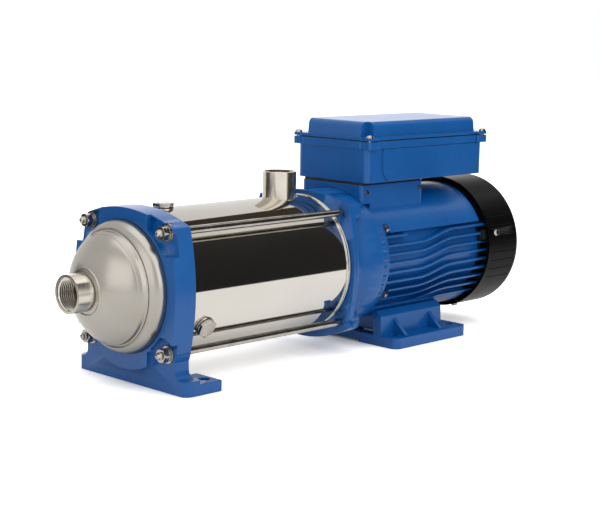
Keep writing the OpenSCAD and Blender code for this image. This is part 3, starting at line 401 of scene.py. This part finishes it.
def screwThread(crest, pitch, turns, inward, steps):
    # one sharp ridge wound round Z, starting at height 0
    ridge = pitch * 0.5
    bpy.ops.object.select_all(action="DESELECT")
    bpy.ops.mesh.primitive_circle_add(vertices=3, radius=ridge, fill_type="NGON")
    piece = bpy.context.active_object
    side = -1 if inward else 1
    # the triangle stands up beside Z, with its tip at the crest
    piece.matrix_world = Matrix(((0, side, 0, crest - side * ridge), (0, 0, side, 0),
                                 (1, 0, 0, 0), (0, 0, 0, 1)))
    settle(piece)
    useModifier(piece, "SCREW", axis="Z", angle=2 * math.pi, screw_offset=pitch, iterations=turns,
                steps=steps, render_steps=steps)
    tidyNormals(piece)
    return piece


def copyNode(name):
    # a CAD node's mesh is loose triangles, so its copy is merged first
    piece = copyOf(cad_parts[name])
    pick(piece)
    bpy.ops.object.mode_set(mode="EDIT")
    bpy.ops.mesh.select_all(action="SELECT")
    bpy.ops.mesh.remove_doubles(threshold=0.000005)
    bpy.ops.object.mode_set(mode="OBJECT")
    return piece


def swell(piece, factors, centre):
    pick(piece)
    bpy.ops.object.mode_set(mode="EDIT")
    bpy.ops.mesh.select_all(action="SELECT")
    bpy.ops.transform.resize(value=factors, center_override=centre)
    bpy.ops.object.mode_set(mode="OBJECT")


def shift(piece, wanted, move):
    # moves the points for which wanted(place) is true
    pick(piece)
    bpy.ops.object.mode_set(mode="EDIT")
    bpy.ops.mesh.select_mode(type="VERT")
    bpy.ops.mesh.select_all(action="DESELECT")
    bpy.ops.object.mode_set(mode="OBJECT")
    for v in piece.data.vertices:
        v.select = wanted(v.co)
    bpy.ops.object.mode_set(mode="EDIT")
    bpy.ops.transform.translate(value=move)
    bpy.ops.object.mode_set(mode="OBJECT")


bow = {
    "radius": 0.240,        # of the castings' bowed sides
    "half": 0.080,          # the bowed sides' reach from the shaft
    "from": -0.060,         # where the cut of a side starts and ends, upwards from the shaft
    "to": 0.095,
    "bottomRadius": 0.150,  # of the adapter's lower side
    "down": 0.0855,         # its reach below the shaft
    "block": 0.06,          # thickness of the cutting block
    "lift": 0.009,          # its middle beyond the side
    "barSides": 360,        # enough that the bowed side shows no flats
}


def bowCutter(middle, depth, turn, radius, half, start, end):
    # what lies beyond one bowed side: a block with a big round bar taken out of it
    bpy.ops.object.select_all(action="DESELECT")
    bpy.ops.mesh.primitive_cylinder_add(vertices=bow["barSides"], radius=radius, depth=depth * 2)
    bar = bpy.context.active_object
    place(bar, alongX, (0, 0, half - radius))
    piece = addBlock((depth, end - start, bow["block"]))
    side = 1 if turn > 0 else -1
    place(piece, unturned, (0, side * (start + end) / 2, half + bow["lift"]))
    combine(piece, bar, "DIFFERENCE")
    place(piece, Matrix.Rotation(math.radians(90 * turn), 3, "X"), (middle, 0, axisHeight))
    return piece


def cutBows(piece, node, turns):
    # quarter turns: 1 and -1 are the two sides, 0 the top and 2 the bottom
    low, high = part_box(node)
    for turn in turns:
        radius, half = (bow["bottomRadius"], bow["down"]) if turn == 2 else (bow["radius"], bow["half"])
        start = bow["from"] if turn in (1, -1) else -bow["to"]
        cutter = bowCutter((low.x + high.x) / 2, high.x - low.x + 0.03, turn, radius, half, start, bow["to"])
        combine(piece, cutter, "DIFFERENCE")


bracket = {
    # planes of the casting that come forward: place along the shaft, and how far
    "ringFace": (-0.0425, 0.0020),
    "footFace": (-0.0340, 0.0045),
    "lipFace": (-0.0370, 0.0030),
    "pocketFloor": (-0.0325, 0.0040),
    "near": 0.00006,                 # what counts as on the plane
    "footCorner": (-0.0338, -0.0209, 0.074, 0.016),  # from, to, least |y|, greatest z
}


def makeBracket():
    piece = copyNode("front_bracket")
    for plane in ("ringFace", "footFace", "lipFace", "pocketFloor"):
        where, forward = bracket[plane]
        shift(piece, lambda spot: abs(spot.x - where) < bracket["near"], (-forward, 0, 0))
    start, end, out, up = bracket["footCorner"]
    shift(piece, lambda spot: start < spot.x < end and abs(spot.y) > out and spot.z < up,
          (-bracket["footFace"][1], 0, 0))
    cutBows(piece, "front_bracket", (1, -1))
    finishPiece(piece, "frontBracketCasting", blueEnamel, replaced=("front_bracket",), smooth=20)


adapter = {"plate": 0.007, "corner": 0.016, "cornerSteps": 10, "gap": 0.00005}


def makeAdapter():
    # square plate with round corners in front of the neck, bowed on all four sides
    piece = copyNode("motor_adapter")
    half, down = bow["half"], bow["down"]
    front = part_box("seal_housing")[1].x + adapter["gap"]
    plate = addBlock((adapter["plate"], half * 2, half + down))
    place(plate, unturned, (front + adapter["plate"] / 2, 0, axisHeight + (half - down) / 2))
    pick(plate)
    bpy.ops.object.mode_set(mode="EDIT")
    bpy.ops.mesh.select_mode(type="EDGE")
    bpy.ops.mesh.select_all(action="DESELECT")
    bpy.ops.object.mode_set(mode="OBJECT")
    points = [v.co for v in plate.data.vertices]
    for edge in plate.data.edges:
        first, second = edge.vertices
        edge.select = abs((points[second] - points[first]).normalized().x) > 0.9
    bpy.ops.object.mode_set(mode="EDIT")
    bpy.ops.mesh.bevel(offset=adapter["corner"], segments=adapter["cornerSteps"], affect="EDGES")
    bpy.ops.object.mode_set(mode="OBJECT")
    combine(piece, plate, "UNION")
    cutBows(piece, "motor_adapter", (1, -1, 0, 2))
    finishPiece(piece, "motorAdapterCasting", blueEnamel, replaced=("motor_adapter",), smooth=30)


makeBracket()
makeAdapter()
print("castings made")

casing = {
    # millimetres, as radius and place along the shaft
    "domeBall": 68.5, "domeCentre": -27.7, "capEdge": 57.2, "capEnd": -61.2, "socketHole": 17.0,
    "line": 54.2, "shoulder": 14.0, "edge": -46.8, "neck": 67.7, "skirt": -16.0, "wall": 1.5,
    "step": -17.6, "lip": 68.0, "inside": -11.0, "sleeve": 75.0, "round": 4.0,
    "rim": 76.0, "rimStart": 204.0, "end": 206.4,
}


def arc(radius, middle, size, start, end, steps):
    # points of an arc; 0 degrees faces out from the shaft, 90 degrees faces the suction side
    angles = [math.radians(start + (end - start) * i / steps) for i in range(steps + 1)]
    return [(radius + size * math.cos(a), middle - size * math.sin(a)) for a in angles]


def ballCap(size, outer, inner, steps):
    centre = casing["domeCentre"]
    radii = [inner + (outer - inner) * i / steps for i in range(steps + 1)]
    return [(r, centre - math.sqrt(size * size - r * r)) for r in radii]


def openRing(outline, steps):
    # turned shell whose two end discs are taken out and bridged into one closed wall
    piece = lathe([(r / 1000, x / 1000) for r, x in outline], steps)
    pick(piece)
    bpy.ops.object.mode_set(mode="EDIT")
    bpy.ops.mesh.select_mode(type="FACE")
    bpy.ops.mesh.select_all(action="DESELECT")
    bpy.ops.mesh.select_face_by_sides(number=steps, type="EQUAL")
    bpy.ops.mesh.delete(type="FACE")
    bpy.ops.mesh.select_mode(type="EDGE")
    bpy.ops.mesh.select_non_manifold()
    bpy.ops.mesh.bridge_edge_loops()
    bpy.ops.object.mode_set(mode="OBJECT")
    tidyNormals(piece)
    place(piece, alongX, (0, 0, axisHeight))
    return piece


def makeDome():
    size, cap, wall, line = casing["domeBall"], casing["capEdge"], casing["wall"], casing["line"]
    middle, shoulder = casing["neck"] - casing["shoulder"], casing["shoulder"]
    capEnd, skirt = casing["capEnd"], casing["skirt"]
    # a ball with one fine pressed line, up to the step of its rim
    outline = ballCap(size, line, casing["socketHole"], 20)
    outline += [(line + 0.3, outline[-1][1] + 0.8), (line + 0.9, outline[-1][1] + 1.0)]
    outline += ballCap(size, cap - 0.8, line + 1.1, 1)
    outline += [(cap - 0.3, outline[-1][1] + 0.6), (cap, outline[-1][1] + 1.3), (cap, capEnd),
                (cap + 0.2, capEnd + 0.5), (cap + 0.6, capEnd + 0.9)]
    # a shallow groove, then the round shoulder
    outline += [(58.4, -60.1), (58.6, -59.0), (59.3, -58.5), (60.0, -58.6), (60.3, -59.3)]
    outline += arc(middle, casing["edge"], shoulder, 61, 0, 14)
    # back along the inner side of the wall
    outline += [(casing["neck"], skirt), (casing["neck"] - wall, skirt)]
    outline += arc(middle, casing["edge"], shoulder - wall, 0, 75, 8)
    outline += [(cap - wall, -59.2), (cap - wall, -63.0)]
    outline += ballCap(size - wall, cap - wall - 1, casing["socketHole"], 12)[::-1]
    finishPiece(openRing(outline, 144), "spunDome", spunSteel, replaced=("pump_casing",), smooth=40)


def makeSleeve():
    sleeve, step, curve, end = casing["sleeve"], casing["step"], casing["round"], casing["end"]
    rim, rimStart, wall, lip = casing["rim"], casing["rimStart"], casing["wall"], casing["lip"]
    outline = [(lip, step), (sleeve - curve, step)]
    outline += arc(sleeve - curve, step + curve, curve, 90, 0, 8)[1:]
    # rings close to both ends keep the long mirror between them true
    outline += [(sleeve, step + curve + 0.4), (sleeve, rimStart - 1.8), (sleeve, rimStart - 1.4),
                (sleeve - 0.5, rimStart - 0.8), (sleeve - 0.5, rimStart - 0.3), (rim - 0.6, rimStart)]
    outline += arc(rim - 1.2, (rimStart + end) / 2, 1.2, 80, -90, 6)
    outline += [(sleeve - wall, end), (sleeve - wall, casing["inside"]), (lip, casing["skirt"])]
    finishPiece(openRing(outline, 192), "polishedSleeve", polishedSteel,
                replaced=("pump_casing",), smooth=20)


makeDome()
makeSleeve()
print("casing made")

plugs = {
    "place": 0.007,           # along the shaft
    "turns": {"fill": 0, "drain": 120},
    "seat": 0.0754,           # from the shaft's axis to the boss's face
    "boss": 0.011, "bossDepth": 0.012, "bore": 0.0075,
    "seal": 0.0010,
    "collar": 0.0010, "flats": 0.019, "head": 0.0048, "dent": 0.0070,
}


def makePlugs():
    seat, boss, bore, seal = plugs["seat"], plugs["boss"], plugs["bore"], plugs["seal"]
    ring = lathe([(boss, seat - plugs["bossDepth"]), (boss, seat - 0.0002), (boss - 0.0002, seat),
                  (bore, seat), (bore, seat - 0.002)], 48)
    gasket = lathe([(boss - 0.0006, seat), (boss - 0.0004, seat + 0.0003),
                    (boss - 0.0004, seat + seal - 0.0002), (boss - 0.0006, seat + seal)], 48)
    low = seat + seal
    rest = low + plugs["collar"]
    collar = lathe([(boss - 0.0008, low), (boss - 0.0005, low + 0.0002), (boss - 0.0005, rest - 0.0002),
                    (boss - 0.0008, rest), (0.006, rest)], 48)
    top = low + plugs["head"]
    corner = plugs["flats"] / 2 / math.cos(math.radians(30))
    dent = plugs["dent"]
    hexagon = lathe([(corner, rest - 0.0002), (corner, top - 0.0009), (corner - 0.0004, top - 0.0005),
                     (corner - 0.0018, top - 0.0001), (corner - 0.0026, top), (dent, top),
                     (dent - 0.0004, top - 0.0003)], 6)
    head = merge([collar, hexagon])
    spot = (plugs["place"], 0, axisHeight)
    for name, angle in plugs["turns"].items():
        turn = Matrix.Rotation(math.radians(angle), 3, "X")
        pieces = [copyOf(model) for model in (ring, gasket, head)]
        for piece in pieces:
            place(piece, turn, spot)
        finishPiece(pieces[0], name + "Boss", socketSteel, replaced=("plug_bosses",), smooth=30)
        finishPiece(pieces[1], name + "PlugGasket", rubber, replaced=(name + "_plug_seal",),
                    smooth=30)
        finishPiece(pieces[2], name + "PlugHead", fastenerSteel, replaced=(name + "_plug",),
                    smooth=25)
    for model in (ring, gasket, head):
        erase(model)


makePlugs()

socketThread = {"crest": 0.01515, "pitch": 0.002309, "turns": 8, "steps": 56, "start": 0.0016}


def cutSocketThreads():
    suction = screwThread(socketThread["crest"], socketThread["pitch"], socketThread["turns"], True,
                          socketThread["steps"])
    discharge = copyOf(suction)
    place(suction, alongX, (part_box("suction_port")[0].x + socketThread["start"], 0, axisHeight))
    finishPiece(suction, "suctionThread", threadSteel, smooth=25)
    low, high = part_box("discharge_port")
    upsideDown = Matrix.Rotation(math.radians(180), 3, "X")
    place(discharge, upsideDown, ((low.x + high.x) / 2, 0, high.z - socketThread["start"]))
    finishPiece(discharge, "dischargeThread", threadSteel, smooth=25)


cutSocketThreads()
print("plugs and socket threads made")

rod = {
    "radius": 0.004, "core": 0.0034, "at": 0.0607,  # at: sideways and upwards from the shaft
    "pitch": 0.00125, "turns": 14, "threadStart": 0.0024, "threadLength": 0.022,
    "rearThread": 0.018,
    "forward": 0.0062,        # rods and nuts, with the bracket's pocket floors
}


def makeTieRods():
    low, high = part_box("tie_rods")
    front = low.x - rod["forward"]
    length = high.x - front
    bare = length - rod["rearThread"]
    radius, core, thread = rod["radius"], rod["core"], rod["threadLength"]
    shank = lathe([(0.0008, 0), (0.0022, 0.0003), (0.0030, 0.0010), (core, 0.0022), (core, thread),
                   (radius, thread + 0.0006), (radius, bare), (core, bare + 0.0006), (core, length)])
    ridge = screwThread(radius, rod["pitch"], rod["turns"], False, 32)
    place(ridge, unturned, (0, 0, rod["threadStart"]))
    model = merge([ridge, shank])
    for number, (y, z) in enumerate(corners, 1):
        piece = copyOf(model)
        place(piece, alongX, (front, y * rod["at"], axisHeight + z * rod["at"]))
        finishPiece(piece, "tieRod" + str(number), fastenerSteel, replaced=("tie_rods",),
                    smooth=30)
    erase(model)


nutStack = {
    "washerForward": 0.0040,
    "springRadius": 0.0070, "springBore": 0.0043, "springThick": 0.0022,
    "slot": 0.0009, "slotTilt": 20,
    "firstTurn": 200, "nextTurn": 40,  # each spring washer's slot points its own way
}


def makeNutStacks():
    # nuts and flat washers stand forward, with a spring washer between them
    for name, label, forward in (("tie_rod_nuts", "tieRodNuts", rod["forward"]),
                                 ("tie_rod_washers", "tieRodWashers", nutStack["washerForward"])):
        piece = copyNode(name)
        shift(piece, lambda spot: True, (-forward, 0, 0))
        finishPiece(piece, label, fastenerSteel, replaced=(name,), smooth=25)
    r, bore, thick = nutStack["springRadius"], nutStack["springBore"], nutStack["springThick"]
    model = lathe([(bore, 0.0001), (r - 0.0002, 0.0001), (r, 0.0003), (r, thick - 0.0003),
                   (r - 0.0002, thick - 0.0001), (bore, thick - 0.0001)], 36)
    slot = addBlock((0.01, nutStack["slot"], 0.01))
    place(slot, Matrix.Rotation(math.radians(nutStack["slotTilt"]), 3, "X"), (0.008, 0, thick / 2))
    combine(model, slot, "DIFFERENCE")
    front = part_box("tie_rod_washers")[0].x - nutStack["washerForward"] - thick
    for number, (y, z) in enumerate(corners):
        turn = Matrix.Rotation(math.radians(nutStack["firstTurn"] + nutStack["nextTurn"] * number), 3, "X")
        piece = copyOf(model)
        place(piece, turn @ alongX, (front, y * rod["at"], axisHeight + z * rod["at"]))
        finishPiece(piece, "springWasher" + str(number + 1), fastenerSteel, smooth=30)
    erase(model)


makeTieRods()
makeNutStacks()
print("rods and nut stacks made")

fan = {"plateRadius": 0.0754, "plateThick": 0.0018, "bore": 0.013}


def makeFan():
    # the fan's back plate reaches out to the cover, so nothing is seen past it
    r, t, bore = fan["plateRadius"], fan["plateThick"], fan["bore"]
    plate = lathe([(bore, 0), (r - 0.0003, 0), (r, 0.0004), (r, t - 0.0004), (r - 0.0003, t), (bore, t)], 96)
    place(plate, alongX, (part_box("cooling_fan")[0].x + 0.0001, 0, axisHeight))
    piece = merge([plate, copyNode("cooling_fan")])
    finishPiece(piece, "coolingFan", fanPlastic, body="rotor", replaced=("cooling_fan",),
                smooth=30)


cover = {"wider": 1.02}  # the cover swells a little past the solid's round


def makeCover():
    shell, screws = copyNode("fan_cover"), copyNode("fan_cover_screws")
    for piece in (shell, screws):
        swell(piece, (1, cover["wider"], cover["wider"]), (0, 0, axisHeight))
    finishPiece(shell, "fanCover", coverBlack, replaced=("fan_cover",), smooth=8)
    finishPiece(screws, "fanCoverScrews", fastenerSteel, replaced=("fan_cover_screws",),
                smooth=8)


boxSeal = {"longer": 1.038, "wider": 1.042}  # the seal reaches the edges of the box's pedestal


def makeBoxSeal():
    piece = copyNode("terminal_box_seal")
    low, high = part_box("terminal_box_seal")
    swell(piece, (boxSeal["longer"], boxSeal["wider"], 1), (low + high) / 2)
    finishPiece(piece, "terminalBoxSeal", rubber, replaced=("terminal_box_seal",), smooth=25)


makeFan()
makeCover()
makeBoxSeal()
print("fan, cover and box seal made")

welds = {
    "size": 0.0011,     # of the bead round the discharge socket
    "steps": 96,
    "bands": 24,        # strips in which the bead sags with the tube
    "hollow": 0.0018,   # radius of the dressed weld at the suction socket
}


def runDischargeWeld():
    # bead round the socket, which sags with the round of the tube
    low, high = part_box("discharge_port")
    radius, sag = (high.x - low.x) / 2 + 0.0003, casing["sleeve"] / 1000
    bpy.ops.object.select_all(action="DESELECT")
    bpy.ops.mesh.primitive_torus_add(major_radius=radius, minor_radius=welds["size"],
                                     major_segments=welds["steps"], minor_segments=10)
    piece = bpy.context.active_object
    reach = radius + welds["size"]
    width = 2 * reach / welds["bands"]
    for band in range(welds["bands"]):
        middle = -reach + (band + 0.5) * width
        bpy.ops.object.mode_set(mode="OBJECT")
        for v in piece.data.vertices:
            v.select = abs(v.co.y - middle) <= width / 2
        bpy.ops.object.mode_set(mode="EDIT")
        bpy.ops.transform.translate(value=(0, 0, math.sqrt(sag * sag - middle * middle) - sag))
        bpy.ops.mesh.select_all(action="DESELECT")
    bpy.ops.object.mode_set(mode="OBJECT")
    useModifier(piece, "SMOOTH", factor=0.5, iterations=3)
    place(piece, unturned, ((low.x + high.x) / 2, 0, axisHeight + sag - 0.0002))
    finishPiece(piece, "dischargeWeld", socketSteel, smooth=60)


def dressSuctionWeld():
    # the suction socket runs into the dome with a hollow dressed weld
    low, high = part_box("suction_port")
    neck, reach = (high.y - low.y) / 2, welds["hollow"]
    foot = neck + reach
    ground = ballCap(casing["domeBall"], foot * 1000, foot * 1000, 1)[0][1] / 1000
    top = ground - reach
    outline = [(neck - 0.0006, ground + 0.001), (neck - 0.0006, top), (neck + 0.0001, top)]
    for angle in range(10, 90, 10):
        a = math.radians(angle)
        outline.append((foot - reach * math.cos(a) + 0.0001, top + reach * math.sin(a)))
    outline += [(foot + 0.0001, ground + 0.0003), (foot - 0.001, ground + 0.001)]
    piece = lathe(outline, 72)
    place(piece, alongX, (0, 0, axisHeight))
    finishPiece(piece, "suctionWeld", spunSteel, smooth=50)


runDischargeWeld()
dressSuctionWeld()
print("welds run")

lidScrew = {"head": 0.0042, "height": 0.0030, "socket": 0.0021, "shank": 0.0022, "length": 0.011,
            "inset": 0.0042}


def makeLidScrews():
    low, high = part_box("lid_screws")
    r, h, s, shank = lidScrew["head"], lidScrew["height"], lidScrew["socket"], lidScrew["shank"]
    model = lathe([(shank, -lidScrew["length"]), (shank, -0.0001), (r, 0), (r, h * 0.35), (r * 0.93, h * 0.7),
                   (r * 0.72, h * 0.94), (s, h), (s, h * 0.45), (s * 0.2, h * 0.3)], 24)
    inset = lidScrew["inset"]
    for number, (x, y) in enumerate(corners, 1):
        piece = copyOf(model)
        place(piece, unturned, (high.x - inset if x > 0 else low.x + inset,
                                high.y - inset if y > 0 else low.y + inset, high.z - h))
        finishPiece(piece, "lidScrew" + str(number), fastenerSteel, replaced=("lid_screws",),
                    smooth=30)
    erase(model)


makeLidScrews()
print("lid screws made")

# camera at the photograph's viewing angle
shot = {"target": (0.20628, 0.0, 0.10877), "azimuth": -45.287, "elevation": 8.98, "roll": 0.997,
        "distance": 1.646161, "lens": 88.07, "sensor": 36}


def placeCamera():
    azimuth, elevation = math.radians(shot["azimuth"]), math.radians(shot["elevation"])
    back = Vector((math.sin(azimuth) * math.cos(elevation), -math.cos(azimuth) * math.cos(elevation),
                   math.sin(elevation)))
    right = (-back).cross(Vector((0, 0, 1))).normalized()
    up = right.cross(-back)
    roll = math.radians(shot["roll"])
    tiltedRight = right * math.cos(roll) + up * math.sin(roll)
    tiltedUp = up * math.cos(roll) - right * math.sin(roll)
    camera = bpy.data.objects.new("camera", bpy.data.cameras.new("camera"))
    bpy.context.scene.collection.objects.link(camera)
    camera.data.lens = shot["lens"]
    camera.data.sensor_width = shot["sensor"]
    camera.data.clip_end = 50
    turn = Matrix((tiltedRight, tiltedUp, back)).transposed()
    camera.matrix_world = Matrix.Translation(Vector(shot["target"]) + back * shot["distance"]) @ turn.to_4x4()
    bpy.context.scene.camera = camera


placeCamera()
print("camera placed")

# each lamp: place, aim, width, height and power
lamps = {
    "softboxRight": ((0.5, -1.7, 1.1), (0.25, 0, 0.1), 2.0, 2.0, 13),
    "softboxTop": ((0.2, -0.2, 1.9), (0.2, 0, 0.1), 2.2, 2.2, 14),
    "softboxBack": ((1.5, 1.5, 0.55), (0.3, 0, 0.2), 1.6, 0.9, 3.5),
    "softboxLeft": ((-1.5, -0.6, 0.9), (0, 0, 0.1), 1.5, 1.5, 6),
}
# cards that only the polished steel sees: colour, middle, turn, width and height
cards = {
    "blackCard": ("050505", (1.00, -0.48, 0.625), 2, 1.50, 1.25),
    "brownCard": ("3A322A", (-0.40, 0.45, 0.12), 45, 0.55, 0.24),
    "highCard": ("4A4034", (1.90, 0.40, 1.95), 90, 0.76, 1.50),
}
room = {
    "floorSize": 16, "floorDrop": 0.0005, "paper": "F4F4F4",
    # how bright the floor shows itself to the camera, to mirrors and to glass
    "floorGlow": {"Is Camera Ray": 0.85, "Is Glossy Ray": 0.5, "Is Transmission Ray": 0.5},
    "paintedFootShadow": 0.04,  # the glow fades this close to what stands on the floor: a painted contact shadow
    "light": 0.45,      # of the room on the object
    "seen": 1.0,        # of the room as the camera, mirrors and glass see it
}


def makeFloor():
    bpy.ops.object.select_all(action="DESELECT")
    bpy.ops.mesh.primitive_plane_add(size=room["floorSize"])
    floor = bpy.context.active_object
    floor.name = "studioFloor"
    place(floor, unturned, (0, 0, -room["floorDrop"]))
    # matt white paper that glows a little, so that its far edge is lost in the room; near the pump the glow
    # is dimmed into a painted shadow
    paper, shader = newMaterial("whiteStudioPaper", room["paper"], 0.6, {})
    tree = paper.node_tree
    path = addNode(tree, "LightPath", (-700, -300), {}, {})
    direct, mirrored, through = [
        addNode(tree, "Math", (-500, -200 * row), {"operation": "MULTIPLY", 1: level}, {0: (path, ray)})
        for row, (ray, level) in enumerate(room["floorGlow"].items())]
    seen = addNode(tree, "Math", (-300, -100), {"operation": "MAXIMUM"},
                   {0: (direct, "Value"), 1: (mirrored, "Value")})
    seen = addNode(tree, "Math", (-300, -300), {"operation": "MAXIMUM"},
                   {0: (seen, "Value"), 1: (through, "Value")})
    # ambient occlusion dims the floor's glow under and round the pump: painted contact shadow, for the camera
    # and for the steel's reflections
    near = addNode(tree, "AmbientOcclusion", (-300, -500), {"samples": 8, "Distance": room["paintedFootShadow"]}, {})
    shade = addNode(tree, "Math", (-100, -450), {"operation": "MULTIPLY"},
                    {0: (seen, "Value"), 1: (near, "AO")})
    glow = addNode(tree, "Emission", (100, -300), {}, {"Strength": (shade, "Value")})
    both = addNode(tree, "AddShader", (300, 0), {}, {0: (shader, "BSDF"), 1: (glow, "Emission")})
    feed(tree, tree.nodes["Material Output"], {"Surface": (both, "Shader")})
    floor.data.materials.append(paper)


def hangCards():
    for name, (colour, middle, turn, width, height) in cards.items():
        bpy.ops.object.select_all(action="DESELECT")
        bpy.ops.mesh.primitive_plane_add(size=1)
        card = bpy.context.active_object
        card.name = name
        card.scale = (width, height, 1)
        card.rotation_euler = (math.radians(90), 0, math.radians(turn))
        card.location = middle
        settle(card)
        card.data.materials.append(newMaterial(name + "Paper", colour, 0.9, {})[0])
        card.visible_camera = False
        card.visible_diffuse = False
        card.visible_shadow = False


def lightRoom():
    world = bpy.data.worlds.new("whiteRoom")
    bpy.context.scene.world = world
    world.use_nodes = True
    tree = world.node_tree
    sky = tree.nodes["Background"]
    sky.inputs["Color"].default_value = (1, 1, 1, 1)
    path = addNode(tree, "LightPath", (-900, 0), {}, {})
    seen = addNode(tree, "Math", (-700, 0), {"operation": "MAXIMUM"},
                   {0: (path, "Is Camera Ray"), 1: (path, "Is Glossy Ray")})
    seen = addNode(tree, "Math", (-500, 0), {"operation": "MAXIMUM"},
                   {0: (seen, "Value"), 1: (path, "Is Transmission Ray")})
    level = addNode(tree, "MapRange", (-300, 0), {"To Min": room["light"], "To Max": room["seen"]},
                    {"Value": (seen, "Value")})
    feed(tree, sky, {"Strength": (level, "Result")})


def hangLamps():
    for name, (spot, aim, width, height, power) in lamps.items():
        lamp = bpy.data.lights.new(name, "AREA")
        lamp.shape = "RECTANGLE"
        lamp.size = width
        lamp.size_y = height
        lamp.energy = power
        holder = bpy.data.objects.new(name, lamp)
        bpy.context.scene.collection.objects.link(holder)
        holder.location = spot
        holder.rotation_euler = (Vector(aim) - Vector(spot)).to_track_quat("-Z", "Y").to_euler()
    # the back lamp leaves the tube out, or its top edge would vanish in the white room
    kept = bpy.data.collections.new("outOfBackLight")
    kept.objects.link(bpy.data.objects["polishedSleeve"])
    kept.collection_objects[0].light_linking.link_state = "EXCLUDE"
    bpy.data.objects["softboxBack"].light_linking.receiver_collection = kept


makeFloor()
hangCards()
lightRoom()
hangLamps()
bpy.context.scene.view_settings.view_transform = "Standard"
print("studio built")
